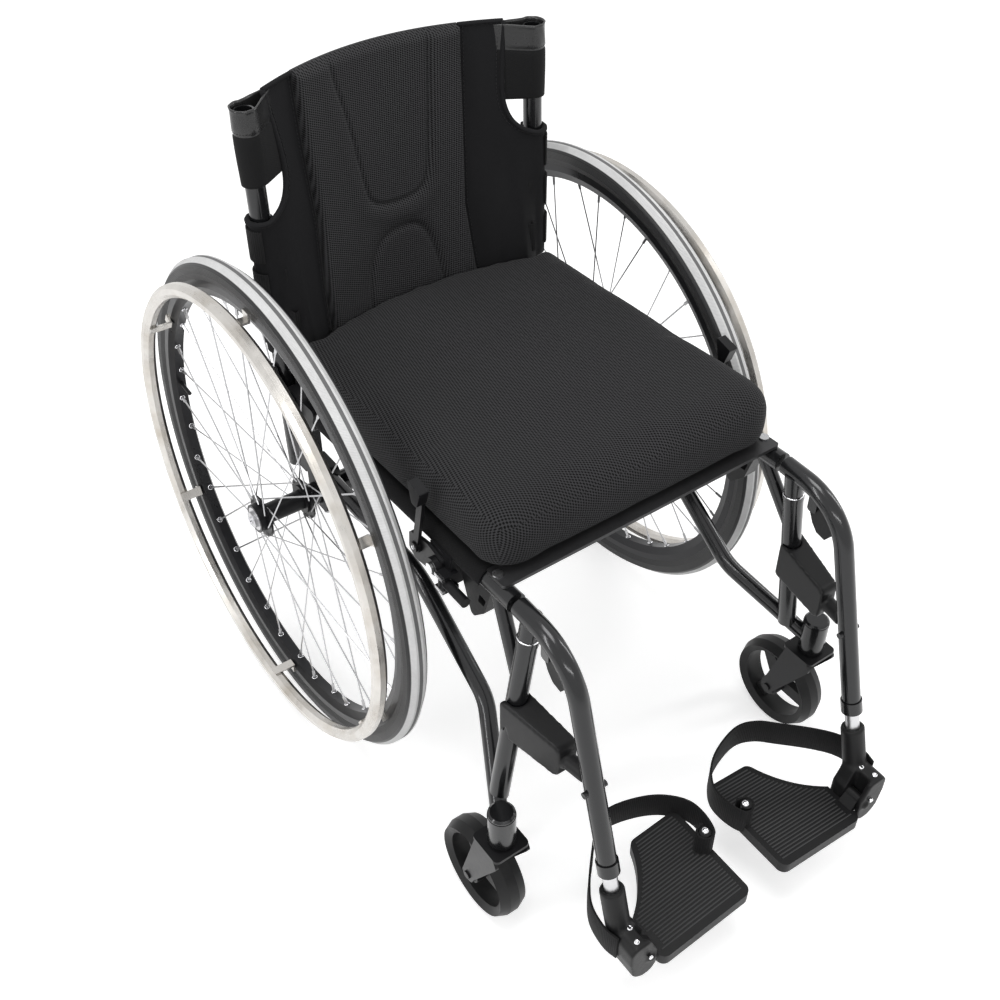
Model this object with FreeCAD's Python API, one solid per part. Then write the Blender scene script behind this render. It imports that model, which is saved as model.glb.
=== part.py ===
import FreeCAD, Part

import math
import os

V = FreeCAD.Vector

# The chair faces -Y, its left side is +X, and the ground is z = 0.
# Places below are measured from the middle of the rear axle line; export() then
# shifts every piece so that the origin lies under the middle of the whole chair.

# driving dimensions, in millimetres and degrees
wheel_radius = 304.5
wheel_spacing = 473.2
camber_angle = 1.46
front_reach = 613.0
rail_spacing = 351.0
rail_front_z = 438.0
rail_front_y = -386.0
rail_rear_y = 46.0
rail_slope_angle = 2.6
rail_radius = 11.0
frame_wall = 2.0
cane_spacing = 358.0
cane_radius = 11.0
cane_foot_z = 309.0
cane_foot_y = 60.0
cane_top_z = 758.0
cane_lean_angle = 1.72
handle_socket_depth = 100.0
fold_z = 444.0
caster_radius = 60.0
caster_head_x = 229.5
caster_head_y = -437.0
caster_trail = 34.0
foot_clearance_z = 61.0

# clearances
running_fit = 0.05
cloth_gap = 0.3
overrun = 2.0

# frame tubes
lower_radius = 9.75
lower_z = 331.0
lower_rear_y = 46.0
lower_bend_y = -205.0
lower_dip_y = -333.0
lower_dip_z = 242.0
lower_head_z = 165.0
lower_rear_bend = 90.0
lower_front_bend = 75.0
axle_tube_radius = 14.0
axle_tube_half = 196.0
axle_tube_z = 303.5
axle_radius = 6.35
post_radius = 11.0
post_y = -407.5
post_foot_x = 211.8
post_foot_z = 187.0
post_head_x = 177.9
post_head_z = 403.0
head_radius = 15.5
head_low_z = 153.0
head_high_z = 198.0
stem_radius = 6.0

# drive wheel, along its own axle: distances outboard from the rim's middle plane
rim_outer_radius = 281.0
rim_inner_radius = 262.0
rim_half_width = 10.0
rim_inner_half = 6.0
tyre_half_width = 12.3
tread_half_width = 4.5
handrim_radius = 276.4
handrim_tube_radius = 8.0
handrim_offset = 34.3
handrim_sides = 8
tab_count = 6
spoke_count = 36
hub_inboard = -36.0
hub_outboard = 34.0
flange_inboard = -31.0
flange_outboard = 24.0
flange_radius = 26.0
flange_thickness = 2.4

# leg rest
hanger_radius = 10.5
hanger_rear_y = -391.8
hanger_rear_z = 438.5
hanger_corner_y = -472.0
hanger_corner_z = 437.0
hanger_bend = 70.0
hanger_end_z = 197.0
leg_angle = 16.45
foot_tube_radius = 8.0
flip_x = 159.5
flip_z = 84.0
plate_tilt_angle = 6.0
plate_thickness = 15.0

# seat and back cloth
sling_thickness = 2.0
cushion_half_width = 190.0
cushion_top_z = 517.0
cushion_front_y = -372.0
back_low_z = 475.0
back_high_z = 765.0
back_thickness = 3.0
pad_thickness = 12.0
sleeve_thickness = 2.0

# worked out from the sizes above
axle_y = (front_reach - wheel_radius) / 2
rail_x = rail_spacing / 2
cane_x = cane_spacing / 2
camber = math.radians(camber_angle)
rail_fall = math.tan(math.radians(rail_slope_angle))
cane_lean = math.tan(math.radians(cane_lean_angle))
hub_x = wheel_spacing / 2
hub_z = wheel_radius * math.cos(camber) + tread_half_width * math.sin(camber)
leg_run = V(0, -math.sin(math.radians(leg_angle)), -math.cos(math.radians(leg_angle)))
plate_rise = math.tan(math.radians(plate_tilt_angle))
origin = V(0, 0, 0)


def rail_z(y):
    return rail_front_z - (y - rail_front_y) * rail_fall


def cane_y(z):
    return cane_foot_y + (z - cane_foot_z) * cane_lean


def post_x(z):
    return post_foot_x + (post_head_x - post_foot_x) * (z - post_foot_z) / (post_head_z - post_foot_z)


def post_point(z):
    return V(post_x(z), post_y, z)


def hanger_point(z):
    # a point on the hanger's straight leg
    return V(rail_x, hanger_corner_y, hanger_corner_z).add(leg_run * ((z - hanger_corner_z) / leg_run.z))


def export(name, shape):
    moved = shape.copy()
    moved.translate(V(0, axle_y, 0))
    moved.exportStep("parts/" + name + ".step")


def mirrored(shape):
    return shape.mirror(origin, V(1, 0, 0))


def export_pair(name, shape):
    export(name + "_left", shape)
    export(name + "_right", mirrored(shape))


def group(shapes):
    return Part.makeCompound(shapes)


def both(shapes):
    # one group with the pieces of both sides
    return group(shapes + [mirrored(shape) for shape in shapes])


def rod(start, end, radius):
    run = end.sub(start)
    return Part.makeCylinder(radius, run.Length, start, run)


def pipe(start, end, radius, bore):
    return rod(start, end, radius).cut(rod(start, end, bore))


def block(x_low, x_high, y_low, y_high, z_low, z_high):
    return Part.makeBox(x_high - x_low, y_high - y_low, z_high - z_low, V(x_low, y_low, z_low))


def unit(start, end):
    run = end.sub(start)
    return run * (1 / run.Length)


def rounded_corner(before, corner, after, radius):
    # the start, middle and end of the arc that rounds a corner
    back = unit(corner, before)
    ahead = unit(corner, after)
    half = back.getAngle(ahead) / 2
    setback = radius / math.tan(half)
    inward = back.add(ahead)
    inward.normalize()
    middle = corner.add(inward * (radius / math.sin(half) - radius))
    return corner.add(back * setback), middle, corner.add(ahead * setback)


def rounded_path(points, radii):
    # straight runs joined by tangent arcs
    edges = []
    start = points[0]
    for before, corner, after, radius in zip(points, points[1:], points[2:], radii):
        arc_start, middle, arc_end = rounded_corner(before, corner, after, radius)
        edges.append(Part.makeLine(start, arc_start))
        edges.append(Part.Arc(arc_start, middle, arc_end).toShape())
        start = arc_end
    edges.append(Part.makeLine(start, points[-1]))
    return Part.Wire(edges)


def rounded_face(points, radii):
    # a closed outline, each corner with its own radius, zero for a sharp one
    count = len(points)
    arcs = []
    for index, corner in enumerate(points):
        if radii[index]:
            arcs.append(rounded_corner(points[index - 1], corner, points[(index + 1) % count], radii[index]))
        else:
            arcs.append((corner, None, corner))
    edges = []
    for index, (arc_start, middle, arc_end) in enumerate(arcs):
        if middle:
            edges.append(Part.Arc(arc_start, middle, arc_end).toShape())
        edges.append(Part.makeLine(arc_end, arcs[(index + 1) % count][0]))
    return Part.Face(Part.Wire(edges))


def prism_yz(points, radii, x_low, x_high):
    face = rounded_face([V(x_low, y, z) for y, z in points], radii)
    return face.extrude(V(x_high - x_low, 0, 0))


def prism_xz(points, radii, y_low, y_high):
    face = rounded_face([V(x, y_low, z) for x, z in points], radii)
    return face.extrude(V(0, y_high - y_low, 0))


def prism_xy(points, radii, z_low, z_high):
    face = rounded_face([V(x, y, z_low) for x, y in points], radii)
    return face.extrude(V(0, 0, z_high - z_low))


def swept(path, start, ahead, radius):
    disc = Part.Face(Part.Wire(Part.makeCircle(radius, start, ahead)))
    return path.makePipe(disc)


def ring_of(section):
    # a full turn about z of a closed section given as (radius, height) pairs
    corners = [V(radius, 0, height) for radius, height in section]
    face = Part.Face(Part.makePolygon(corners + corners[:1]))
    return face.revolve(origin, V(0, 0, 1), 360)


def on_wheel(shape):
    # from the wheel's own frame, z outboard and y up, to its cambered place
    outboard = V(math.cos(camber), 0, math.sin(camber))
    up = V(-math.sin(camber), 0, math.cos(camber))
    turn = FreeCAD.Rotation(V(0, 1, 0), up, outboard, "ZXY")
    return shape.transformed(FreeCAD.Placement(V(hub_x, 0, hub_z), turn).toMatrix(), True)


def tyre():
    bead_half = rim_half_width - 1.5 * running_fit
    shoulder_drop = 7.5
    flank_rise = 7.0
    section = [(rim_outer_radius, -bead_half),
               (rim_outer_radius + flank_rise, -tyre_half_width),
               (wheel_radius - shoulder_drop, -tyre_half_width),
               (wheel_radius, -tread_half_width)]
    section += [(radius, -height) for radius, height in reversed(section)]
    return on_wheel(ring_of(section))


def rim():
    brake_face = 9.0
    valve_radius = 2.5
    valve_length = 24.0
    section = [(rim_inner_radius, -rim_inner_half),
               (rim_outer_radius - brake_face, -rim_half_width),
               (rim_outer_radius, -rim_half_width)]
    section += [(radius, -height) for radius, height in reversed(section)]
    valve_turn = math.radians(360 / spoke_count / 2)
    inward = V(-math.cos(valve_turn), -math.sin(valve_turn), 0)
    valve = Part.makeCylinder(valve_radius, valve_length, inward * -rim_inner_radius, inward)
    return on_wheel(group([ring_of(section), valve]))


def square_bar(start, end, half):
    # a slim four sided bar
    ahead = unit(start, end)
    side = ahead.cross(V(0, 0, 1))
    side.normalize()
    rise = side.cross(ahead)
    corners = [start.add(side * half), start.add(rise * half), start.sub(side * half), start.sub(rise * half)]
    face = Part.Face(Part.makePolygon(corners + corners[:1]))
    return face.extrude(end.sub(start))


def spokes():
    spoke_half = 1.0
    nipple_half = 2.0
    nipple_length = 11.0
    hole_radius = 22.5
    lacing_angle = 60.0
    near_step = flange_thickness / 2 + 1.2 * spoke_half
    far_step = flange_thickness / 2 + 2.7 * spoke_half
    nipple_gap = 0.4
    rim_step = rim_inner_half / 3
    seat_radius = rim_inner_radius - nipple_gap
    bars = []
    for index in range(spoke_count):
        outer = index % 2 == 0
        lead = 1 if index % 4 < 2 else -1
        turn = math.radians(360 / spoke_count * index)
        hub_turn = turn + math.radians(lacing_angle * lead)
        flange = flange_outboard if outer else flange_inboard
        away = (lead > 0) == outer
        root_z = flange + lead * (far_step if away else near_step)
        root = V(hole_radius * math.cos(hub_turn), hole_radius * math.sin(hub_turn), root_z)
        seat_z = rim_step if outer else -rim_step
        seat = V(seat_radius * math.cos(turn), seat_radius * math.sin(turn), seat_z)
        joint = seat.sub(unit(root, seat) * nipple_length)
        bars.append(square_bar(root, joint, spoke_half))
        bars.append(square_bar(joint, seat, nipple_half))
    return on_wheel(group(bars))


bearing_radius = 14.3
bearing_width = 8.0


def hub():
    end_radius = 17.5
    waist_radius = 12.0
    bore_radius = axle_radius + 1.5
    half = flange_thickness / 2
    seat = bearing_radius + running_fit
    shoulder = hub_inboard + bearing_width + half
    outer = [(end_radius, hub_inboard),
             (end_radius, flange_inboard - half),
             (flange_radius, flange_inboard - half),
             (flange_radius, flange_inboard + half),
             (end_radius, flange_inboard + half),
             (end_radius, shoulder),
             (waist_radius, shoulder),
             (waist_radius, flange_outboard - half),
             (flange_radius, flange_outboard - half),
             (flange_radius, flange_outboard + half),
             (end_radius, flange_outboard + half),
             (end_radius, hub_outboard)]
    inner = [(seat, hub_outboard),
             (seat, hub_outboard - bearing_width),
             (bore_radius, hub_outboard - bearing_width),
             (bore_radius, hub_inboard + bearing_width),
             (seat, hub_inboard + bearing_width),
             (seat, hub_inboard)]
    return on_wheel(ring_of(outer + inner))


def wheel_bearings():
    low = hub_inboard + running_fit
    high = hub_outboard - running_fit
    width = bearing_width - 2 * running_fit
    rings = []
    for start in [low, high - width]:
        rings.append(on_wheel(pipe(V(0, 0, start), V(0, 0, start + width), bearing_radius, axle_radius)))
    return both(rings)


def handrim():
    tab_width = 12.0
    tab_thickness = 2.5
    side = 2 * math.pi / handrim_sides
    section = []
    for index in range(handrim_sides):
        turn = side * (index + 1 / 2)
        section.append((handrim_radius + handrim_tube_radius * math.cos(turn) / math.cos(side / 2),
                        handrim_offset + handrim_tube_radius * math.sin(turn) / math.cos(side / 2)))
    ring = ring_of(section)
    under = handrim_radius - handrim_tube_radius
    foot_radius = rim_outer_radius - tab_thickness
    tab_outline = [(under - tab_thickness, rim_half_width),
                   (foot_radius, rim_half_width),
                   (foot_radius, rim_half_width + tab_thickness),
                   (under + running_fit, rim_half_width + tab_thickness),
                   (under + running_fit, handrim_offset + handrim_tube_radius / 2),
                   (under - tab_thickness, handrim_offset + handrim_tube_radius / 2)]
    tabs = []
    for index in range(tab_count):
        corners = [V(radius, -tab_width / 2, height) for radius, height in tab_outline]
        tab = Part.Face(Part.makePolygon(corners + corners[:1])).extrude(V(0, tab_width, 0))
        tab.rotate(origin, V(0, 0, 1), 360 / tab_count * (index + 1 / 2))
        tabs.append(tab)
    return on_wheel(ring.fuse(tabs))


nut_thickness = 4.0
button_radius = 4.5
button_depth = 7.0
plunger_radius = 3.0
plunger_length = 60.0
button_rise = 4.0


def wheel_axles():
    nut_radius = 10.0
    inboard_length = 88.0
    end = hub_outboard + nut_thickness
    pin = rod(V(0, 0, -inboard_length), V(0, 0, hub_outboard), axle_radius)
    pin = pin.fuse(rod(V(0, 0, hub_outboard), V(0, 0, end), nut_radius))
    deep = end - button_depth
    pin = pin.cut(rod(V(0, 0, deep), V(0, 0, end + overrun), button_radius + running_fit))
    low = deep - plunger_length - button_rise
    pin = pin.cut(rod(V(0, 0, low), V(0, 0, deep + overrun), plunger_radius + running_fit))
    return both([on_wheel(pin)])


def axle_button():
    end = hub_outboard + nut_thickness
    head_foot = end - button_depth + button_rise + running_fit
    head = rod(V(0, 0, head_foot), V(0, 0, end + button_rise), button_radius)
    plunger = rod(V(0, 0, head_foot - plunger_length), V(0, 0, head_foot), plunger_radius)
    return on_wheel(head.fuse(plunger))


def seat_rail():
    start = V(rail_x, rail_front_y, rail_front_z)
    end = V(rail_x, rail_rear_y, rail_z(rail_rear_y))
    tube = rod(start, end, rail_radius)
    return tube.cut(group(bar_screw_holes(bar_screw_radius + running_fit)))


def lower_points():
    return [V(rail_x, lower_rear_y, lower_z),
            V(rail_x, lower_bend_y, lower_z),
            V(rail_x, lower_dip_y, lower_dip_z),
            V(caster_head_x, caster_head_y, lower_head_z)]


def lower_tube():
    plug_length = 3.4
    points = lower_points()
    path = rounded_path(points, [lower_rear_bend, lower_front_bend])
    tube = swept(path, points[0], unit(points[0], points[1]), lower_radius)
    head = Part.makeCylinder(head_radius, 2 * head_high_z, V(caster_head_x, caster_head_y, 0))
    plug = rod(points[0], points[0].add(V(0, plug_length, 0)), lower_radius)
    return tube.fuse(plug).cut(head)


def caster_housing():
    cap_radius = 15.0
    cap_side = 2.5
    cap_height = 4.5
    cap_crown = 12.5
    foot = V(caster_head_x, caster_head_y, head_low_z)
    housing = Part.makeCylinder(head_radius, head_high_z - head_low_z, foot)
    bore = Part.makeCylinder(stem_radius + running_fit, head_high_z - head_low_z - overrun, foot)
    cap = ring_of([(0, 0), (cap_radius, 0), (cap_radius, cap_side), (cap_crown, cap_height), (0, cap_height)])
    cap.translate(V(caster_head_x, caster_head_y, head_high_z))
    return group([housing.cut(bore), cap])


strut_radius = 8.0
strut_rail_y = -355.0
strut_post_z = 350.0
hinge_pin_radius = 6.0
hinge_pin_low_z = 368.0
hinge_ring_height = 6.0
hinge_boss_radius = 10.5


def front_post():
    ring_radius = 11.8
    post = rod(post_point(post_foot_z), post_point(post_head_z), post_radius)
    bore_low = post_point(hinge_pin_low_z - overrun)
    ring_top = post_point(post_head_z + hinge_ring_height)
    bore = rod(bore_low, post_point(post_head_z + 2 * hinge_ring_height), hinge_pin_radius + running_fit)
    points = lower_points()
    lower_run = rod(points[2], points[3], lower_radius)
    tube = post.cut([bore, lower_run])
    ring = rod(post_point(post_head_z), ring_top, ring_radius).cut(bore)
    rail_end = V(rail_x, strut_rail_y, rail_z(strut_rail_y))
    strut = rod(rail_end, post_point(strut_post_z), strut_radius)
    rail = rod(V(rail_x, rail_front_y - overrun, rail_z(rail_front_y - overrun)),
               V(rail_x, rail_rear_y, rail_z(rail_rear_y)), rail_radius)
    return group([tube, ring, strut.cut([rail, post])])


def axle_bore():
    # the cambered bore for the quick release pin
    length = 2 * axle_tube_half
    return on_wheel(rod(V(0, 0, -length), V(0, 0, length), axle_radius + running_fit))


def axle_tube():
    boss_radius = 10.0
    start = V(-axle_tube_half, 0, axle_tube_z)
    end = V(axle_tube_half, 0, axle_tube_z)
    tube = rod(start, end, axle_tube_radius)
    boss = on_wheel(rod(V(0, 0, hub_inboard - 4 * overrun), V(0, 0, hub_inboard - cloth_gap), boss_radius))
    tube = tube.fuse([boss, mirrored(boss)])
    return tube.cut([axle_bore(), mirrored(axle_bore())])


clamp_half_width = 11.5
clamp_half_length = 20.0
clamp_low_z = 283.0


def axle_clamps():
    high_z = lower_z + lower_radius + 2.5 * overrun
    corner = 6.0
    slit = 1.5
    outline = [(-clamp_half_length, clamp_low_z), (clamp_half_length, clamp_low_z),
               (clamp_half_length, high_z), (-clamp_half_length, high_z)]
    body = prism_yz(outline, [corner] * 4, rail_x - clamp_half_width, rail_x + clamp_half_width)
    body = body.cut(rod(V(0, 0, axle_tube_z), V(axle_tube_half, 0, axle_tube_z), axle_tube_radius))
    body = body.cut(rod(V(rail_x, -2 * clamp_half_length, lower_z), V(rail_x, 2 * clamp_half_length, lower_z),
                        lower_radius))
    gap = block(rail_x - 2 * clamp_half_width, rail_x + 2 * clamp_half_width, -2 * clamp_half_length, 0,
                axle_tube_z - slit / 2, axle_tube_z + slit / 2)
    return both([body.cut(gap)])


bar_rear_y = -343.0
bar_front_y = -374.0
bar_thickness = 4.0
bar_screw_radius = 3.0
bar_screw_y = -355.7
bar_screw_head = 5.5
bar_screw_head_height = 1.5


def bar_z(y):
    return rail_z(y) + rail_radius


def bar_screw_holes(radius):
    x = rail_x - 2 * running_fit
    holes = []
    for side in [-1, 1]:
        low = V(side * x, bar_screw_y, bar_z(bar_screw_y) - rail_radius / 2)
        holes.append(Part.makeCylinder(radius, rail_radius, low))
    return holes


def front_cross_bar():
    half = rail_x + rail_radius / 2
    corner = 4.0
    outline = [(bar_rear_y, bar_z(bar_rear_y)), (bar_front_y, bar_z(bar_front_y)),
               (bar_front_y, bar_z(bar_front_y) + bar_thickness),
               (bar_rear_y, bar_z(bar_rear_y) + bar_thickness)]
    bar = prism_yz(outline, [0] * 4, -half, half)
    plan = prism_xy([(-half, bar_front_y), (half, bar_front_y), (half, bar_rear_y), (-half, bar_rear_y)],
                    [corner] * 4, 0, 2 * rail_front_z)
    return bar.common(plan).cut(bar_screw_holes(bar_screw_radius + running_fit))


def frame_screws():
    x = rail_x - 2 * running_fit
    seat_z = bar_z(bar_screw_y) + bar_thickness + running_fit * 4
    low = V(x, bar_screw_y, bar_z(bar_screw_y) - rail_radius / 2)
    seat = V(x, bar_screw_y, seat_z)
    shank = rod(low, seat, bar_screw_radius)
    head = rod(seat, V(x, bar_screw_y, seat_z + bar_screw_head_height), bar_screw_head)
    screws = [shank.fuse(head)]
    clamp_head = 4.5
    clamp_head_height = 3.5
    head_sides = 6
    for y in [-clamp_half_length * 3 / 5, clamp_half_length * 3 / 5]:
        for side in [-1, 1]:
            middle = V(rail_x + side * clamp_half_width * 3 / 5, y, clamp_low_z - clamp_head_height)
            corners = []
            for turn in range(head_sides):
                angle = 2 * math.pi / head_sides * turn
                corners.append(middle.add(V(clamp_head * math.cos(angle), clamp_head * math.sin(angle), 0)))
            face = Part.Face(Part.makePolygon(corners + corners[:1]))
            screws.append(face.extrude(V(0, 0, clamp_head_height)))
    return both(screws)


bracket_half = 11.5
bracket_front_y = -15.0
bracket_rear_y = 49.0
cheek_thickness = 6.0
fold_radius = 12.0
fold_bolt_radius = 4.0


def fold_point(x):
    return V(x, cane_y(fold_z), fold_z)


def back_brackets():
    wall = 2.0
    low_drop = 16.0
    leg_low_z = 319.0
    leg_front_y = 20.0
    body_low_z = 398.0
    top = rail_radius + wall
    outline = [(bracket_front_y, rail_z(bracket_front_y) - low_drop),
               (bracket_front_y, rail_z(bracket_front_y) + top),
               (bracket_rear_y, rail_z(bracket_rear_y) + top),
               (bracket_rear_y, leg_low_z),
               (leg_front_y, leg_low_z),
               (leg_front_y, body_low_z)]
    body = prism_yz(outline, [8.0, 5.0, 3.0, 6.0, 6.0, 14.0], rail_x - bracket_half, rail_x + bracket_half)
    rail = rod(V(rail_x, rail_front_y, rail_front_z), V(rail_x, rail_rear_y, rail_z(rail_rear_y)), rail_radius)
    lower = rod(V(rail_x, 0, lower_z), V(rail_x, lower_rear_y + low_drop, lower_z), lower_radius)
    pivot_y = cane_y(fold_z)
    cheek = prism_yz([(bracket_rear_y - 2 * fold_radius, body_low_z),
                      (bracket_rear_y - 2 * fold_radius, rail_z(bracket_rear_y) + top),
                      (bracket_rear_y - fold_radius / 2, rail_z(bracket_rear_y) + top),
                      (pivot_y - fold_radius / 2, fold_z + fold_radius * 5 / 6),
                      (pivot_y + fold_radius * 5 / 6, fold_z - fold_radius / 2),
                      (bracket_rear_y, body_low_z)],
                     [4.0, 2.0, 6.0, 0, 0, 6.0], 0, cheek_thickness)
    cheek = cheek.fuse(rod(V(0, pivot_y, fold_z), V(cheek_thickness, pivot_y, fold_z), fold_radius))
    inner = cane_x - cane_radius - cloth_gap - cheek_thickness
    outer = cane_x + cane_radius + cloth_gap
    cheeks = [cheek.translated(V(inner, 0, 0)), cheek.translated(V(outer, 0, 0))]
    bridge = block(inner, outer + cheek_thickness, bracket_rear_y - 2 * fold_radius, bracket_rear_y - wall,
                   body_low_z + wall, rail_z(bracket_rear_y) + rail_radius)
    body = body.fuse(cheeks + [bridge])
    bolt_half = cane_radius + cheek_thickness + cloth_gap
    bolt = rod(fold_point(cane_x - bolt_half), fold_point(cane_x + bolt_half), fold_bolt_radius)
    head_radius_outer = fold_bolt_radius + 3.5 * wall / 2
    heads = [rod(fold_point(cane_x - bolt_half - 2 * wall), fold_point(cane_x - bolt_half), head_radius_outer),
             rod(fold_point(cane_x + bolt_half), fold_point(cane_x + bolt_half + 2 * wall), head_radius_outer)]
    return both([body.cut([bolt, rail, lower]), bolt.fuse(heads)])


def seat_sling():
    front_y = bar_rear_y + cloth_gap
    rear_y = 20.0
    inner = rail_radius + cloth_gap
    outer = inner + sling_thickness
    z = rail_z(front_y)
    notch_half = bracket_half + cheek_thickness + cloth_gap * 4
    edges = [Part.makeLine(V(-rail_x, front_y, z + outer), V(rail_x, front_y, z + outer))]
    for side in [1, -1]:
        x = side * rail_x
        slant = math.sqrt(1 / 2)
        edges.append(Part.Arc(V(x, front_y, z + outer), V(x + side * outer * slant, front_y, z + outer * slant),
                              V(x + side * outer, front_y, z)).toShape())
        edges.append(Part.makeLine(V(x + side * outer, front_y, z), V(x + side * inner, front_y, z)))
        edges.append(Part.Arc(V(x + side * inner, front_y, z), V(x + side * inner * slant, front_y,
                              z + inner * slant), V(x, front_y, z + inner)).toShape())
    edges.append(Part.makeLine(V(rail_x, front_y, z + inner), V(-rail_x, front_y, z + inner)))
    profile = Part.Face(Part.Wire(Part.__sortEdges__(edges)))
    cloth = profile.extrude(V(0, rear_y - front_y, rail_z(rear_y) - rail_z(front_y)))
    notches = [block(side * rail_x - notch_half, side * rail_x + notch_half, bracket_front_y - cloth_gap,
                     rear_y + overrun, 0, 2 * rail_front_z) for side in [-1, 1]]
    return cloth.cut(notches)


def back_bow(z):
    # the hollow of the back at a height: its side and middle depth
    low_side = 28.0
    high_side = 79.9
    low_hollow = 43.0
    high_hollow = 46.6
    share = (z - back_low_z) / (back_high_z - back_low_z)
    side_y = low_side + (high_side - low_side) * share
    return side_y, side_y + low_hollow + (high_hollow - low_hollow) * share


bow_half = 165.0


def bow_y(x, z):
    side_y, middle_y = back_bow(z)
    return side_y + (middle_y - side_y) * (1 - (x / bow_half) ** 2)


def seat_cushion():
    front_corner = 40.0
    top_round = 26.0
    low_round = 16.0
    half = cushion_half_width
    low_z = rail_z(bracket_rear_y) - rail_radius
    rear_y = bow_y(0, back_low_z)
    corners = [V(-half, cushion_front_y, low_z), V(half, cushion_front_y, low_z),
               V(half, rear_y, low_z), V(-half, rear_y, low_z)]
    plan = rounded_face(corners, [front_corner, front_corner, 0, 0])
    body = plan.extrude(V(0, 0, cushion_top_z - low_z))
    top_rise = cushion_top_z - rail_z(cushion_front_y)
    above = prism_yz([(2 * cushion_front_y, rail_z(2 * cushion_front_y) + top_rise),
                      (-cushion_front_y, rail_z(-cushion_front_y) + top_rise),
                      (-cushion_front_y, 2 * cushion_top_z), (2 * cushion_front_y, 2 * cushion_top_z)],
                     [0] * 4, -2 * half, 2 * half)
    seat_rise = rail_radius + sling_thickness + 2 * cloth_gap
    base = prism_yz([(2 * cushion_front_y, rail_z(2 * cushion_front_y) + seat_rise),
                     (-cushion_front_y, rail_z(-cushion_front_y) + seat_rise),
                     (-cushion_front_y, 0), (2 * cushion_front_y, 0)], [0] * 4, -2 * half, 2 * half)
    bar_rise = rail_radius + bar_thickness + bar_screw_head_height + 2 * cloth_gap
    over_bar = prism_yz([(2 * cushion_front_y, rail_z(2 * cushion_front_y) + bar_rise),
                         (bar_rear_y + cloth_gap, rail_z(bar_rear_y) + bar_rise),
                         (bar_rear_y + cloth_gap, 0), (2 * cushion_front_y, 0)], [0] * 4, -2 * half, 2 * half)
    body = body.cut([above, base])
    top_face = max(body.Faces, key=lambda face: face.CenterOfMass.z)
    body = body.makeFillet(top_round, [edge for edge in top_face.Edges if edge.CenterOfMass.y < rear_y - overrun])
    low_face = min(body.Faces, key=lambda face: face.CenterOfMass.z)
    body = body.makeFillet(low_round, [edge for edge in low_face.Edges if edge.CenterOfMass.y < rear_y - overrun])
    behind = back_sheet([rail_z(bracket_rear_y), cushion_top_z], -pad_thickness - cloth_gap,
                        2 * half, half + overrun)
    return body.cut([behind, over_bar])


def back_outline(z, offset, thickness, flap_half):
    # plan of the back at a height: two side flaps and the bowed middle, with the same line behind it
    bow_edge = 150.0
    flap_y = cane_y(z) - cane_radius - cloth_gap - sleeve_thickness - back_thickness - running_fit
    edge_y = bow_y(bow_edge, z)
    reach = (flap_half - bow_edge) / (cane_x - bow_edge)
    flap_y = edge_y + (flap_y - edge_y) * min(1, reach)
    front = [V(-flap_half, flap_y + offset, z), V(-bow_edge, edge_y + offset, z),
             V(0, bow_y(0, z) + offset, z), V(bow_edge, edge_y + offset, z), V(flap_half, flap_y + offset, z)]
    rear = [point.add(V(0, thickness, 0)) for point in front]
    edges = [Part.makeLine(front[0], front[1]), Part.Arc(front[1], front[2], front[3]).toShape(),
             Part.makeLine(front[3], front[4]), Part.makeLine(front[4], rear[4]),
             Part.makeLine(rear[4], rear[3]), Part.Arc(rear[3], rear[2], rear[1]).toShape(),
             Part.makeLine(rear[1], rear[0]), Part.makeLine(rear[0], front[0])]
    return Part.Wire(edges)


def back_sheet(heights, offset, thickness, flap_half):
    wires = [back_outline(z, offset, thickness, flap_half) for z in heights]
    return Part.makeLoft(wires, True, True)


armhole_low_z = 637.0
sleeve_high_z = 679.0
sleeve_top_z = 762.0


def back_upholstery():
    flap_half = cane_x + 3.0
    cloth = back_sheet([back_low_z, armhole_low_z, back_high_z], 0, back_thickness, flap_half)
    far = cane_x + 3 * cane_radius
    rises = [(163.0, 641.0), (146.0, 657.0), (140.5, 684.0), (149.5, back_high_z), (149.5, back_high_z + overrun)]
    rise_rounds = [18.0, 24.0, 60.0, 0, 0]
    armhole = [(far, armhole_low_z), (cane_x + cane_radius, armhole_low_z)] + rises + [(far, back_high_z + overrun)]
    cut = prism_xz(armhole, [0, cane_radius / 2] + rise_rounds + [0], 0, 2 * cane_foot_z)
    return cloth.cut([cut, mirrored(cut)]).cut(sleeve_cores(cloth_gap))


def cane_point(z):
    return V(cane_x, cane_y(z), z)


def sleeve_cores(clearance):
    radius = cane_radius + cloth_gap + sleeve_thickness + clearance
    cores = []
    for low, high in [(back_low_z, armhole_low_z), (sleeve_high_z, sleeve_top_z)]:
        cores.append(rod(cane_point(low), cane_point(high), radius))
    return cores + [mirrored(core) for core in cores]


def cane_sleeves():
    bore = cane_radius + cloth_gap
    radius = bore + sleeve_thickness
    lower = pipe(cane_point(back_low_z), cane_point(armhole_low_z), radius, bore)
    upper = rod(cane_point(sleeve_high_z), cane_point(sleeve_top_z), radius)
    web_x = 136.0
    corners = []
    for z in [sleeve_high_z, sleeve_top_z]:
        web_y = bow_y(web_x, z) + back_thickness + cloth_gap
        corners.append([V(cane_x, cane_y(z) + radius - sleeve_thickness, z), V(cane_x, cane_y(z) + radius, z),
                        V(web_x, web_y + sleeve_thickness, z), V(web_x, web_y, z)])
    web = Part.makeLoft([Part.makePolygon(ring + ring[:1]) for ring in corners], True, True)
    upper = upper.fuse(web).cut(rod(cane_point(sleeve_high_z), cane_point(sleeve_top_z), bore))
    return both([lower, upper])


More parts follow.
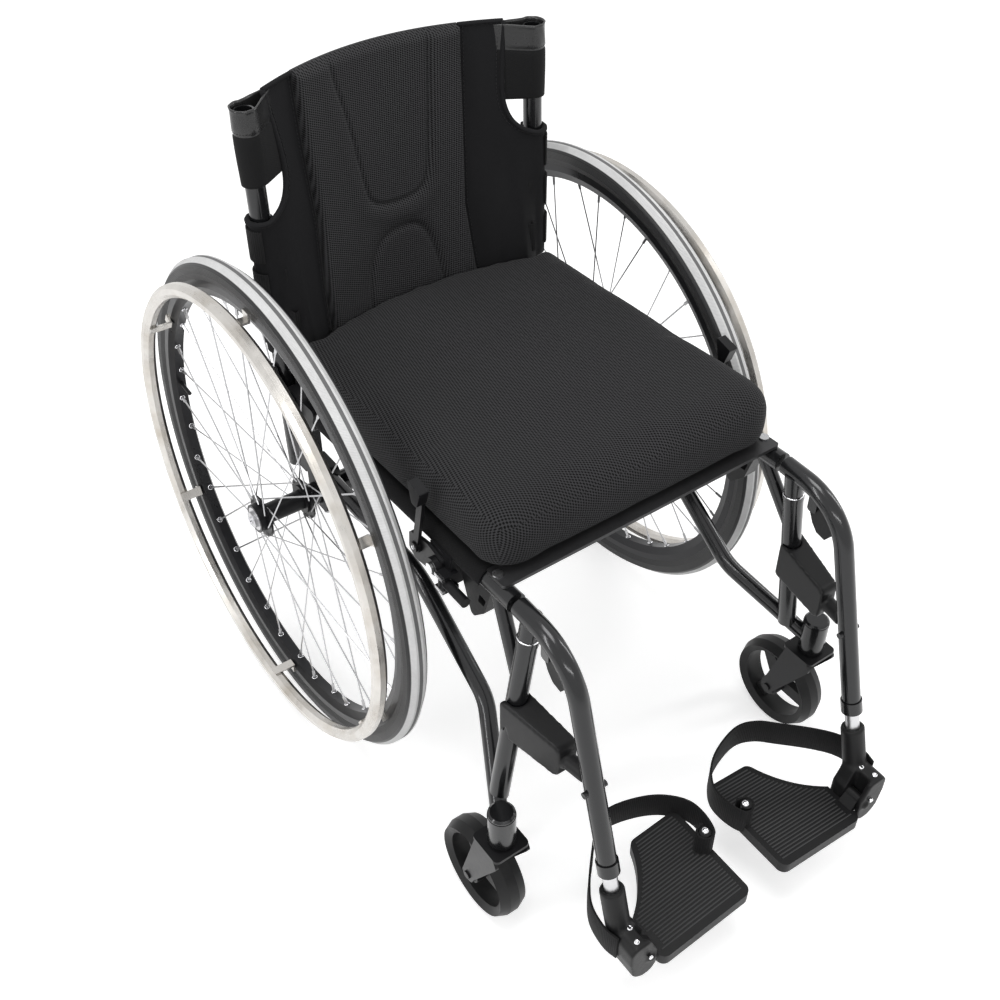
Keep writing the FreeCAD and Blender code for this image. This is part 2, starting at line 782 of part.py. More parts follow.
def tongue(half_low, half_high, z_low, z_high, corner, high_corner):
    # an upright outline that widens or narrows with height
    outline = [(-half_low, z_low), (half_low, z_low), (half_high, z_high), (-half_high, z_high)]
    return prism_xz(outline, [corner, corner, high_corner, high_corner], -cane_spacing, cane_spacing)


def back_pad():
    groove_width = 5.0
    groove_depth = 4.0
    low_half = 102.0
    high_half = 104.0
    half = groove_width / 2
    u_half_low = 36.0
    u_half_high = 62.0
    u_low_z = 594.0
    hump_half = 50.0
    hump_top_half = 26.0
    hump_top_z = 562.0
    core = back_sheet([back_low_z, back_high_z], groove_depth - pad_thickness, pad_thickness - groove_depth, cane_x)
    skin = back_sheet([back_low_z, back_high_z], -pad_thickness, groove_depth, cane_x)
    plan = tongue(low_half, high_half, back_low_z, back_high_z, 0, 0)
    u_outer = tongue(u_half_low + half, u_half_high + half, u_low_z - half, back_high_z, 28.0, 0)
    u_inner = tongue(u_half_low - half, u_half_high - half, u_low_z + half, back_high_z + overrun, 24.0, 0)
    hump_outer = tongue(hump_half + half, hump_top_half + half, back_low_z, hump_top_z + half, 0, 24.0)
    hump_inner = tongue(hump_half - half, hump_top_half - half, back_low_z - overrun, hump_top_z - half, 0, 20.0)
    grooves = [u_outer.cut(u_inner), hump_outer.cut(hump_inner)]
    return core.common(plan).fuse(skin.common(plan).cut(grooves))


def back_cane():
    socket_floor_z = cane_top_z - handle_socket_depth * math.cos(math.radians(cane_lean_angle))
    bore = cane_radius - frame_wall
    tube = rod(cane_point(cane_foot_z), cane_point(cane_top_z), cane_radius)
    tube = tube.cut(rod(cane_point(socket_floor_z), cane_point(cane_top_z), bore))
    hole = rod(fold_point(cane_x - 2 * cane_radius), fold_point(cane_x + 2 * cane_radius),
               fold_bolt_radius + running_fit)
    return tube.cut(hole)


cross_tube_z = 350.0
cross_tube_radius = 9.5


def back_cross_tube():
    start = V(-cane_x, cane_y(cross_tube_z), cross_tube_z)
    end = V(cane_x, cane_y(cross_tube_z), cross_tube_z)
    canes = [rod(cane_point(cane_foot_z), cane_point(cane_top_z), cane_radius)]
    return rod(start, end, cross_tube_radius).cut(canes + [mirrored(canes[0])])


def tension_straps():
    strap_height = 38.0
    strap_thickness = 2.0
    slack = 6.0
    straps = []
    for low_z in [488.0, 540.0, 592.0]:
        band = back_sheet([low_z, low_z + strap_height], back_thickness + slack, strap_thickness, cane_x)
        straps.append(band.cut(sleeve_cores(cloth_gap)))
    return group([max(band.Solids, key=lambda solid: solid.Volume) for band in straps])


fork_gap = 18.5
fork_arm = 4.0
fork_low_z = 147.0
caster_axle_radius = 4.0
caster_half_width = 17.0


def caster_point(offset):
    return V(caster_head_x + offset, caster_head_y + caster_trail, caster_radius)


def caster_fork():
    bridge_front = 21.0
    bridge_rear = 24.0
    corner = 6.0
    boss_radius = 10.0
    race_radius = 14.0
    race_gap = 0.3
    bolt_head = 5.0
    head_height = 2.0
    half = fork_gap + fork_arm
    high_z = fork_low_z + fork_arm
    x = caster_head_x
    plan = [(x - half, caster_head_y - bridge_front), (x + half, caster_head_y - bridge_front),
            (x + half, caster_head_y + bridge_rear), (x - half, caster_head_y + bridge_rear)]
    bridge = prism_xy(plan, [corner] * 4, fork_low_z, high_z)
    wheel = caster_point(0)
    side = [(caster_head_y - bridge_front + corner, high_z),
            (caster_head_y - bridge_front, fork_low_z - 2 * fork_arm),
            (wheel.y - boss_radius, wheel.z),
            (wheel.y + boss_radius, wheel.z),
            (caster_head_y + bridge_rear - corner, high_z)]
    arm = prism_yz(side, [0, corner, 0, 0, 0], 0, fork_arm)
    arm = arm.fuse(rod(V(0, wheel.y, wheel.z), V(fork_arm, wheel.y, wheel.z), boss_radius))
    arms = [arm.translated(V(x - half, 0, 0)), arm.translated(V(x + fork_gap, 0, 0))]
    stem = rod(V(x, caster_head_y, high_z), V(x, caster_head_y, head_high_z - 2 * overrun), stem_radius)
    race = rod(V(x, caster_head_y, high_z), V(x, caster_head_y, head_low_z - race_gap), race_radius)
    bolt = rod(caster_point(-half), caster_point(half), caster_axle_radius)
    heads = [rod(caster_point(-half - head_height), caster_point(-half), bolt_head),
             rod(caster_point(half), caster_point(half + head_height), bolt_head)]
    return bridge.fuse(arms + [stem, race, bolt] + heads)


def caster_wheel():
    core_inner = 46.0
    hub_radius = 13.0
    arm_count = 3
    arm_half_width = 9.0
    arm_half = 5.0
    tread_half = 6.0
    shoulder = 55.0
    core_half = 12.0
    tyre_ring = [(core_inner, -core_half), (shoulder, -caster_half_width), (caster_radius, -tread_half)]
    tyre_ring += [(radius, -height) for radius, height in reversed(tyre_ring)]
    half = fork_gap - cloth_gap
    core = ring_of(tyre_ring).fuse(Part.makeCylinder(hub_radius, 2 * half, V(0, 0, -half)))
    arms = []
    for index in range(arm_count):
        arm = block(hub_radius / 2, core_inner + overrun, -arm_half_width, arm_half_width, -arm_half, arm_half)
        arm.rotate(origin, V(0, 0, 1), 360 / arm_count * (index + 1 / 4))
        arms.append(arm)
    bore = Part.makeCylinder(caster_axle_radius + running_fit, 2 * half, V(0, 0, -half))
    wheel = core.fuse(arms).cut(bore)
    turn = FreeCAD.Rotation(V(0, 1, 0), 90)
    return wheel.transformed(FreeCAD.Placement(caster_point(0), turn).toMatrix(), True)


brake_plane = 196.0
brake_plate = 4.0
lever_pivot_y = -244.0
lever_pivot_z = 414.0
shoe_pivot_x = 198.0
shoe_pivot_y = -295.2
shoe_pivot_z = 405.5
shoe_radius = 5.5
shoe_boss_radius = 6.5
shoe_pin_radius = 2.5
brake_pin_radius = 3.0


def brake_mount_plate(inner):
    # the upright plate that carries the lever
    outline = [(-288.0, 400.0), (-238.0, 390.0), (-226.0, 398.0), (-228.0, 423.0), (-262.0, 430.0), (-288.0, 424.0)]
    rounds = [3.0, 8.0, 6.0, 6.0, 8.0, 3.0]
    return prism_yz(outline, rounds, inner, brake_plane - running_fit)


def brake_rail_clamp(inner):
    # the clamp body round the rail, open above where the sling is wrapped
    front = -298.0
    rear = -262.0
    low_z = 396.0
    margin = 8.0
    rail_y = (front + rear) / 2
    body = block(rail_x - rail_radius - brake_plate, inner, front, rear, low_z, rail_z(rail_y))
    rail = rod(V(rail_x, rail_front_y, rail_front_z), V(rail_x, rail_rear_y, rail_z(rail_rear_y)), rail_radius)
    cloth = rod(V(rail_x, front - margin, rail_z(front - margin)), V(rail_x, rear + margin, rail_z(rear + margin)),
                rail_radius + 2 * cloth_gap + sling_thickness)
    cloth = cloth.cut(block(0, 2 * rail_x, front - margin, rear + margin, 0, rail_z(rail_y) - overrun))
    shoe_foot = V(shoe_pivot_x, shoe_pivot_y, low_z - overrun)
    shoe_head = V(shoe_pivot_x, shoe_pivot_y, shoe_pivot_z + shoe_boss_radius + cloth_gap)
    return body.cut([rail, cloth, rod(shoe_foot, shoe_head, shoe_boss_radius + cloth_gap)])


def shoe_lugs(inner):
    # the two lugs above and below the shoe's boss, with its upright pin
    lug_thickness = 4.3
    gap = 4 * running_fit
    high = shoe_pivot_z + shoe_boss_radius + gap
    low = shoe_pivot_z - shoe_boss_radius - gap
    reach = shoe_boss_radius + shoe_pin_radius / 4
    lugs = []
    for foot in [high, low - lug_thickness]:
        lugs.append(block(inner - shoe_boss_radius, shoe_pivot_x + reach, shoe_pivot_y - reach, shoe_pivot_y + reach,
                          foot, foot + lug_thickness))
    low_end = V(shoe_pivot_x, shoe_pivot_y, low - lug_thickness)
    high_end = V(shoe_pivot_x, shoe_pivot_y, high + lug_thickness)
    return lugs + [rod(low_end, high_end, shoe_pin_radius)]


def brake_mounts():
    drum_radius = 10.0
    drum_y = -278.0
    drum_z = 413.7
    drum_reach = 6.0
    bolt_radius = 5.5
    inner = brake_plane - brake_plate
    gap = running_fit
    pivot = V(brake_plane, lever_pivot_y, lever_pivot_z)
    cap_foot = V(brake_plate + gap, 0, 0)
    pin = rod(pivot.sub(V(brake_plate, 0, 0)), pivot.add(cap_foot), brake_pin_radius)
    cap = rod(pivot.add(cap_foot), pivot.add(cap_foot * (3 / 2)), 2 * brake_pin_radius)
    drum = rod(V(inner, drum_y, drum_z), V(brake_plane + drum_reach, drum_y, drum_z), drum_radius)
    bolt = rod(V(inner, drum_y, drum_z), V(brake_plane + 3 / 2 * drum_reach, drum_y, drum_z), bolt_radius)
    body = brake_rail_clamp(inner).fuse([brake_mount_plate(inner), pin, cap, drum, bolt] + shoe_lugs(inner))
    return both([body])


def brake_lever():
    boss_radius = 7.5
    arm_half = 4.5
    grip_y = -260.0
    grip_low_z = 486.0
    grip_high_z = 513.0
    grip_half = 11.5
    grip_thickness = 11.0
    grip_lean = 6.0
    pivot = V(brake_plane, lever_pivot_y, lever_pivot_z)
    across = V(brake_plate, 0, 0)
    arm = prism_yz([(lever_pivot_y - arm_half, lever_pivot_z), (lever_pivot_y + arm_half, lever_pivot_z),
                    (grip_y + arm_half, grip_low_z + arm_half), (grip_y - arm_half, grip_low_z + arm_half)],
                   [0] * 4, brake_plane, brake_plane + brake_plate)
    hole = rod(pivot, pivot.add(across), brake_pin_radius + running_fit)
    grip = prism_yz([(grip_y - arm_half, grip_low_z), (grip_y + arm_half, grip_low_z),
                     (grip_y + grip_half, grip_high_z), (grip_y - grip_half, grip_high_z - grip_lean)],
                    [3.0, 3.0, 2.0, 2.0], brake_plane, brake_plane + grip_thickness)
    return arm.fuse(rod(pivot, pivot.add(across), boss_radius)).cut(hole).fuse(grip)


def brake_shoe():
    # drawn with its arm pointing forward, clear of the tyre
    arm_length = 38.0
    pivot = V(shoe_pivot_x, shoe_pivot_y, shoe_pivot_z)
    tip = pivot.sub(V(0, arm_length, 0))
    half = V(0, 0, shoe_boss_radius)
    boss = rod(pivot.sub(half), pivot.add(half), shoe_boss_radius)
    arm = rod(pivot, tip, shoe_radius).fuse(boss)
    return arm.cut(rod(pivot.sub(half), pivot.add(half), shoe_pin_radius + running_fit))


def strap_anchors():
    half_width = 8.0
    under = rail_radius / 2
    tip_front = (-344.0, 391.0)
    tip_rear = (-322.0, 368.0)
    root_front = -356.0
    root_rear = -300.0
    tip_round = 5.0
    slot_outline = [(-333.0, 400.0), (-343.0, 400.0), (-347.0, 411.0), (-336.0, 412.0)]
    outline = [tip_rear, tip_front, (root_front, rail_z(root_front) - under), (root_rear, rail_z(root_rear) - under)]
    body = prism_yz(outline, [tip_round, tip_round, 0, 0], rail_x - half_width, rail_x + half_width)
    slot = prism_yz(slot_outline, [overrun] * 4, rail_x - 2 * half_width, rail_x + 2 * half_width)
    rail = rod(V(rail_x, rail_front_y, rail_front_z), V(rail_x, rail_rear_y, rail_z(rail_rear_y)), rail_radius)
    strut = rod(V(rail_x, strut_rail_y, rail_z(strut_rail_y)), post_point(strut_post_z), strut_radius + cloth_gap)
    body = body.cut([rail, slot, strut])
    return both([max(body.Solids, key=lambda solid: solid.Volume)])


collar_height = 14.0
release_pivot_y = -440.0
release_pivot_z = 416.0
release_half = 4.0
release_pin_radius = 2.5


def hanger_tube():
    collar_radius = 12.0
    ear_thickness = 2.5
    corner = V(rail_x, hanger_corner_y, hanger_corner_z)
    end = hanger_point(hanger_end_z)
    points = [V(rail_x, hanger_rear_y, hanger_rear_z), corner, end]
    path = rounded_path(points, [hanger_bend])
    tube = swept(path, points[0], unit(points[0], points[1]), hanger_radius)
    collar_end = end.add(leg_run * collar_height)
    collar_start = end.sub(leg_run * collar_height / 7)
    collar = rod(collar_start, collar_end, collar_radius)
    bore_top = hanger_point(hanger_end_z + 5 * collar_height)
    bore = rod(bore_top, collar_end, foot_tube_radius + running_fit)
    ring_z = post_head_z + hinge_ring_height
    boss = rod(post_point(ring_z + cloth_gap), post_point(hanger_rear_z), hinge_boss_radius)
    pin = rod(post_point(hinge_pin_low_z), post_point(hanger_rear_z), hinge_pin_radius)
    ears = []
    ear_outline = [(release_pivot_y - 6.0, release_pivot_z - 6.0), (release_pivot_y + 6.0, release_pivot_z - 6.0),
                   (release_pivot_y + 6.0, hanger_corner_z - 5.0), (release_pivot_y - 6.0, hanger_corner_z - 5.0)]
    for low in [rail_x - release_half - ear_thickness - running_fit, rail_x + release_half + running_fit]:
        ears.append(prism_yz(ear_outline, [4.0, 4.0, 0, 0], low, low + ear_thickness))
    reach = release_half + ear_thickness
    pivot = rod(V(rail_x - reach, release_pivot_y, release_pivot_z), V(rail_x + reach, release_pivot_y,
                release_pivot_z), release_pin_radius)
    knob_radius = 3.5
    knob_z = 288.0
    across = V(hanger_radius + knob_radius, 0, 0)
    knob = rod(hanger_point(knob_z).sub(across), hanger_point(knob_z).add(across), knob_radius)
    return tube.fuse([collar, boss, pin, knob] + ears).cut(bore).fuse(pivot)


def latch_block():
    front_y = -497.0
    post_low_z = 284.0
    post_high_z = 332.0
    front_low_z = 276.0
    front_high_z = 320.0
    rear_reach = 5.0
    rear_half = 16.0
    front_half = 12.0
    stub_radius = 9.0
    centre = post_point((post_low_z + post_high_z) / 2)
    front = V(rail_x, front_y, 0)
    side = [(post_y + rear_reach, post_low_z - overrun), (post_y + rear_reach, post_high_z),
            (front_y + 2 * stub_radius, front_high_z), (front_y + 2 * stub_radius, front_low_z)]
    body = prism_yz(side, [4.0, 4.0, 8.0, 8.0], 0, 2 * rail_x)
    rear_y = post_y + rear_reach
    plan = [(centre.x - rear_half, rear_y), (centre.x + rear_half, rear_y),
            (front.x + (centre.x - front.x) / 4 + front_half, front_y + 2 * stub_radius),
            (front.x + (centre.x - front.x) / 4 - front_half, front_y + 2 * stub_radius)]
    body = body.common(prism_xy(plan, [0] * 4, 0, 2 * rail_front_z))
    hole = rod(post_point(post_foot_z), post_point(post_head_z), post_radius + cloth_gap)
    stub = rod(V(front.x + (centre.x - front.x) / 2, post_y - 5 * stub_radius, front_high_z - 2.5 * stub_radius),
               V(rail_x, front_y - stub_radius, front_high_z - 2.5 * stub_radius), stub_radius)
    corner = V(rail_x, hanger_corner_y, hanger_corner_z)
    leg = rod(corner, hanger_point(hanger_end_z), hanger_radius)
    return body.fuse(stub).cut([hole, leg])


def release_lever():
    bend_y = -419.3
    bend_z = 367.9
    boss_radius = 5.0
    inner = hanger_bend - hanger_radius - running_fit * 20
    corners = []
    for turn in [121.0, 136.0, 151.0]:
        angle = math.radians(turn)
        corners.append(V(0, bend_y + inner * math.cos(angle), bend_z + inner * math.sin(angle)))
    edge = Part.Arc(corners[0], corners[1], corners[2]).toShape()
    sail = [corners[2], V(0, -462.5, 384.6), V(0, -450.4, 386.9), V(0, -442.7, 395.6),
            V(0, release_pivot_y + boss_radius, release_pivot_z - boss_radius), corners[0]]
    lines = [Part.makeLine(start, end) for start, end in zip(sail, sail[1:])]
    flap = Part.Face(Part.Wire([edge] + lines)).extrude(V(2 * release_half, 0, 0))
    pivot = V(0, release_pivot_y, release_pivot_z)
    across = V(2 * release_half, 0, 0)
    flap = flap.fuse(rod(pivot, pivot.add(across), boss_radius))
    flap = flap.cut(rod(pivot, pivot.add(across), release_pin_radius + running_fit))
    return flap.translated(V(rail_x - release_half, 0, 0))


foot_tube_low_z = 88.0


def footrest_tube():
    inside = 50.0
    return rod(hanger_point(hanger_end_z + inside), hanger_point(foot_tube_low_z), foot_tube_radius)


bracket_front = -606.0
bracket_back = -562.0
tongue_front = -599.0
tongue_back = -581.0
flip_pin_radius = 2.5
tongue_radius = 6.5


def footrest_bracket():
    sleeve_radius = 13.5
    sleeve_high_z = 162.0
    sleeve_low_z = 80.0
    outline = [(162.0, 118.0), (188.0, 118.0), (188.0, 92.0), (183.0, 66.0), (171.0, 54.0), (157.0, 55.5),
               (150.5, 66.0), (150.5, 92.0), (155.0, 100.0)]
    lobe = prism_xz(outline, [6.0, 10.0, 30.0, 12.0, 12.0, 8.0, 5.0, 5.0, 8.0], bracket_front, bracket_back)
    sleeve = rod(hanger_point(sleeve_high_z), hanger_point(sleeve_low_z), sleeve_radius)
    body = lobe.fuse(sleeve)
    body = body.cut(rod(hanger_point(sleeve_high_z + 2 * overrun), hanger_point(foot_tube_low_z), foot_tube_radius))
    slot = block(flip_x - 2 * tongue_radius, flip_x + tongue_radius + 2 * cloth_gap, tongue_front - cloth_gap,
                 tongue_back + cloth_gap, 0, 2 * flip_z)
    under = hanger_point(foot_tube_low_z).sub(leg_run * -overrun)
    body = body.cut(slot.cut(rod(hanger_point(sleeve_high_z), under, foot_tube_radius + overrun)))
    pin_front = bracket_front - overrun
    pin = rod(V(flip_x, pin_front, flip_z), V(flip_x, bracket_back, flip_z), flip_pin_radius)
    head = rod(V(flip_x, pin_front - overrun, flip_z), V(flip_x, bracket_front, flip_z), 2 * flip_pin_radius)
    return body.fuse([pin, head])


plate_outer_x = 149.0
plate_inner_x = 24.0
plate_front_y = -613.0
strap_post_x = 31.0
strap_post_y = -541.0
strap_post_radius = 5.5


def plate_z(x):
    # the footplate's underside
    return foot_clearance_z + (plate_outer_x - x) * plate_rise


def plate_slab(low, high, grow):
    # the footplate's plan between two heights above its underside
    rear_outer_y = -560.5
    rear_inner_y = -486.0
    rear_turn_x = 90.0
    corner = 10.0
    arc_x = 114.0
    arc_y = -530.0
    points = [V(plate_inner_x - grow, rear_inner_y + grow, 0), V(plate_inner_x - grow, plate_front_y, 0),
              V(plate_outer_x, plate_front_y, 0), V(plate_outer_x, rear_outer_y + grow, 0),
              V(rear_turn_x, rear_inner_y + grow, 0)]
    lines = [Part.makeLine(start, end) for start, end in zip(points, points[1:4])]
    arc = Part.Arc(points[3], V(arc_x, arc_y + grow, 0), points[4]).toShape()
    face = Part.Face(Part.Wire(lines + [arc, Part.makeLine(points[4], points[0])]))
    slab = face.extrude(V(0, 0, 3 * foot_clearance_z))
    if not grow:
        uprights = [edge for edge in slab.Edges if abs(edge.tangentAt(edge.FirstParameter).z) > 1 / 2]
        slab = slab.makeFillet(corner, [edge for edge in uprights if edge.Vertexes[0].X < rear_turn_x + corner
                                        or edge.Vertexes[0].Y < rear_outer_y - corner])
    layer = prism_xz([(plate_inner_x - grow - corner, plate_z(plate_inner_x - grow - corner) + low),
                      (plate_outer_x + corner, plate_z(plate_outer_x + corner) + low),
                      (plate_outer_x + corner, plate_z(plate_outer_x + corner) + high),
                      (plate_inner_x - grow - corner, plate_z(plate_inner_x - grow - corner) + high)],
                     [0] * 4, plate_front_y, -plate_outer_x)
    return slab.common(layer)


def footplate():
    cap_radius = 6.5
    cap_height = 6.0
    post_high_z = 112.0
    plate = plate_slab(0, plate_thickness, 0)
    tongue_arm = prism_xz([(plate_outer_x - tongue_radius, plate_z(plate_outer_x) + overrun),
                           (flip_x + tongue_radius * 3 / 4, flip_z - tongue_radius * 2 / 3),
                           (flip_x - tongue_radius / 2, flip_z + tongue_radius * 5 / 6),
                           (plate_outer_x - tongue_radius, plate_z(plate_outer_x) + plate_thickness - overrun)],
                          [0] * 4, tongue_front, tongue_back)
    knuckle = rod(V(flip_x, tongue_front, flip_z), V(flip_x, tongue_back, flip_z), tongue_radius)
    hole = rod(V(flip_x, bracket_front, flip_z), V(flip_x, bracket_back, flip_z), flip_pin_radius + running_fit)
    plate = plate.fuse([tongue_arm, knuckle]).cut(hole)
    foot_z = plate_z(strap_post_x) + plate_thickness
    post = rod(V(strap_post_x, strap_post_y, foot_z), V(strap_post_x, strap_post_y, post_high_z), strap_post_radius)
    cap = rod(V(strap_post_x, strap_post_y, post_high_z), V(strap_post_x, strap_post_y, post_high_z + cap_height),
              cap_radius)
    return group([plate, post.fuse(cap)])


def heel_strap():
    low_z = 80.0
    high_z = 118.0
    half = 1.25
    loop_side = strap_post_x - strap_post_radius - 2 * half
    route = [(190.6, -566.0), (187.0, -538.0), (169.0, -513.0), (140.0, -482.0), (121.0, -463.0), (97.0, -455.5),
             (65.0, -463.0), (38.0, -477.0), (18.0, -500.0), (15.0, -522.0), (loop_side, strap_post_y)]
    bend = 12.0
    sides = []
    for sign in [1, -1]:
        row = []
        for index, (x, y) in enumerate(route):
            before = route[max(index - 1, 0)]
            after = route[min(index + 1, len(route) - 1)]
            run = V(after[0] - before[0], after[1] - before[1], 0)
            run.normalize()
            row.append((x - run.y * half * sign, y + run.x * half * sign))
        sides.append(row)
    outline = sides[0] + list(reversed(sides[1]))
    radii = [0] + [bend] * (len(route) - 2) + [0, 0] + [bend] * (len(route) - 2) + [0]
    band = prism_xy(outline, radii, low_z, high_z)
    loop_low_z = plate_z(strap_post_x) + plate_thickness + 2 * cloth_gap
    loop_radius = strap_post_radius + cloth_gap
    centre = V(strap_post_x, strap_post_y, 0)
    loop = pipe(centre.add(V(0, 0, loop_low_z + 3 * half)), centre.add(V(0, 0, high_z - 6 * half)),
                loop_radius + 2 * half, loop_radius)
    post = rod(centre, centre.add(V(0, 0, 2 * high_z)), strap_post_radius + half)
    band = band.cut([plate_slab(-foot_clearance_z, plate_thickness + cloth_gap, 2.0), post])
    return max(band.fuse(loop).Solids, key=lambda solid: solid.Volume)


def main():
    os.makedirs("parts", exist_ok=True)
    for make in [tyre, rim, spokes, hub, handrim, axle_button, seat_rail, lower_tube, front_post, caster_housing,
                 back_cane, caster_fork, caster_wheel, brake_lever, brake_shoe, hanger_tube, latch_block,
                 release_lever, footrest_tube, footrest_bracket, footplate, heel_strap]:
        export_pair(make.__name__, make())
    for make in [wheel_axles, wheel_bearings, axle_tube, axle_clamps, front_cross_bar, frame_screws,
                 back_brackets, seat_sling, seat_cushion, brake_mounts, strap_anchors, back_upholstery,
                 cane_sleeves, back_pad, back_cross_tube, tension_straps]:
        export(make.__name__, make())


main()
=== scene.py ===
import math
import bpy
import bmesh
import numpy as np
from mathutils import Matrix, Vector


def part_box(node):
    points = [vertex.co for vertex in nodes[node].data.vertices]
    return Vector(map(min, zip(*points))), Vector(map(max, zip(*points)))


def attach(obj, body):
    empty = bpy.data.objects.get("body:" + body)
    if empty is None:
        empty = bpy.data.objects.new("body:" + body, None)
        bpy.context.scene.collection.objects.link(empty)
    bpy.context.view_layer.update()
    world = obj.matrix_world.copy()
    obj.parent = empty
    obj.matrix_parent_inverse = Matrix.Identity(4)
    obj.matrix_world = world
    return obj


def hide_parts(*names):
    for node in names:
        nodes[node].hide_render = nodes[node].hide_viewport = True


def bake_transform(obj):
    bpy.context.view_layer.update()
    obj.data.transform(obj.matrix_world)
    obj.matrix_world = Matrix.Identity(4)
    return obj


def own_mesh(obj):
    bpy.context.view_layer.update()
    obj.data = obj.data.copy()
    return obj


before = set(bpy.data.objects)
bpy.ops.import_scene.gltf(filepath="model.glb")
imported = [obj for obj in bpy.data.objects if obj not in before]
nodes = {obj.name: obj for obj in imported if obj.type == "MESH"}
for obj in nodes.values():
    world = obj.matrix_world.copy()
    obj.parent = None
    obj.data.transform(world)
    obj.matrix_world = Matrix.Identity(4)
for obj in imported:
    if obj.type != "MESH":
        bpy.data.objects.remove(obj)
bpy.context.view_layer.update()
print("frame loaded", len(nodes), "nodes")

# Lengths below are millimetres from the middle of the drive axle's line, on the ground.
axleY = 154.25
sides = {"left": 1, "right": -1}


def at(x, y, z):
    return Vector((x, y + axleY, z)) / 1000


def ease(low, high, value):
    t = np.clip((value - low) / (high - low), 0, 1)
    return t * t * (3 - 2 * t)


class Wiring:
    # short ways to place and join a tree's nodes
    def __init__(self, tree):
        self.tree = tree

    def feed(self, socket, value):
        if isinstance(value, bpy.types.NodeSocket):
            self.tree.links.new(value, socket)
        elif value is not None:
            socket.default_value = value

    def math(self, operation, first, second=None, third=None):
        node = self.tree.nodes.new("ShaderNodeMath")
        node.operation = operation
        for socket, value in zip(node.inputs, (first, second, third)):
            self.feed(socket, value)
        return node.outputs[0]

    def vector(self, operation, first, second=None, factor=None):
        node = self.tree.nodes.new("ShaderNodeVectorMath")
        node.operation = operation
        self.feed(node.inputs[0], first)
        self.feed(node.inputs[1], second)
        if factor is not None:
            self.feed(node.inputs["Scale"], factor)
        return node.outputs["Value" if operation in ("DOT_PRODUCT", "LENGTH") else "Vector"]

    def span(self, value, low, high, toLow=0.0, toHigh=1.0):
        node = self.tree.nodes.new("ShaderNodeMapRange")
        labels = ("Value", "From Min", "From Max", "To Min", "To Max")
        for label, given in zip(labels, (value, low, high, toLow, toHigh)):
            self.feed(node.inputs[label], given)
        return node.outputs["Result"]

    def noise(self, place, scale, detail=2.0):
        node = self.tree.nodes.new("ShaderNodeTexNoise")
        self.feed(node.inputs["Vector"], place)
        self.feed(node.inputs["Scale"], scale)
        self.feed(node.inputs["Detail"], detail)
        return node.outputs["Fac"]

    def mix(self, share, first, second):
        node = self.tree.nodes.new("ShaderNodeMix")
        node.data_type = "RGBA"
        self.feed(node.inputs[0], share)
        self.feed(node.inputs[6], first)
        self.feed(node.inputs[7], second)
        return node.outputs[2]

    def split(self, place):
        node = self.tree.nodes.new("ShaderNodeSeparateXYZ")
        self.feed(node.inputs[0], place)
        return node.outputs

    def join(self, x, y, z):
        node = self.tree.nodes.new("ShaderNodeCombineXYZ")
        for socket, value in zip(node.inputs, (x, y, z)):
            self.feed(socket, value)
        return node.outputs[0]

    def bump(self, height, strength, distance):
        node = self.tree.nodes.new("ShaderNodeBump")
        node.inputs["Strength"].default_value = strength
        node.inputs["Distance"].default_value = distance
        self.feed(node.inputs["Height"], height)
        return node.outputs["Normal"]

    def group(self, name, **values):
        node = self.tree.nodes.new("ShaderNodeGroup")
        node.node_tree = bpy.data.node_groups[name]
        for label, value in values.items():
            self.feed(node.inputs[label], value)
        return node.outputs


def placed(name, data):
    piece = bpy.data.objects.new(name, data)
    bpy.context.scene.collection.objects.link(piece)
    return piece


viewpoint = {"x": -676, "y": -1063, "z": 1337, "azimuth": -35.45, "elevation": 42.33, "roll": -0.18,
             "lens": 46.57, "sensor": 36, "nearest": 0.05}
lamps = {
    "overhead": {"spot": (-0.3, -0.1, 2.9), "aim": (0, 0, 0.3), "size": (1.1, 1.1), "watts": 24},
    "frontStrip": {"spot": (-0.9, -2.2, 1.9), "aim": (0, -0.1, 0.4), "size": (2.2, 0.14), "watts": 12},
    "leftStrip": {"spot": (-2.4, 0.1, 1.5), "aim": (0, 0, 0.4), "size": (0.16, 2.0), "watts": 14},
    "rightStrip": {"spot": (2.3, -0.7, 1.6), "aim": (0, 0, 0.4), "size": (0.16, 1.8), "watts": 12},
}
backdrop = {"worldLight": 0.56, "seen": 1.0, "floorColour": 0.86, "floorGlow": 0.52, "half": 9.0}


def makeCamera():
    data = bpy.data.cameras.new("camera")
    data.lens = viewpoint["lens"]
    data.sensor_width = viewpoint["sensor"]
    data.clip_start = viewpoint["nearest"]
    camera = placed("camera", data)
    a, e = math.radians(viewpoint["azimuth"]), math.radians(viewpoint["elevation"])
    back = Vector((math.sin(a) * math.cos(e), -math.cos(a) * math.cos(e), math.sin(e)))
    roll = Matrix.Rotation(math.radians(viewpoint["roll"]), 3, "Z")
    turn = (-back).to_track_quat("-Z", "Y").to_matrix() @ roll
    camera.location = at(viewpoint["x"], viewpoint["y"], viewpoint["z"])
    camera.rotation_mode = "QUATERNION"
    camera.rotation_quaternion = turn.to_quaternion()
    bpy.context.scene.camera = camera


def makeLamps():
    for name, lamp in lamps.items():
        data = bpy.data.lights.new(name, "AREA")
        data.shape = "RECTANGLE"
        data.size, data.size_y = lamp["size"]
        data.energy = lamp["watts"]
        light = placed(name, data)
        light.location = lamp["spot"]
        run = Vector(lamp["aim"]) - Vector(lamp["spot"])
        light.rotation_mode = "QUATERNION"
        light.rotation_quaternion = run.to_track_quat("-Z", "Y")


def seenDirectly(w):
    # camera, glossy and transmission rays as one mask
    path = w.tree.nodes.new("ShaderNodeLightPath").outputs
    either = w.math("MAXIMUM", path["Is Camera Ray"], path["Is Glossy Ray"])
    return w.math("MAXIMUM", either, path["Is Transmission Ray"])


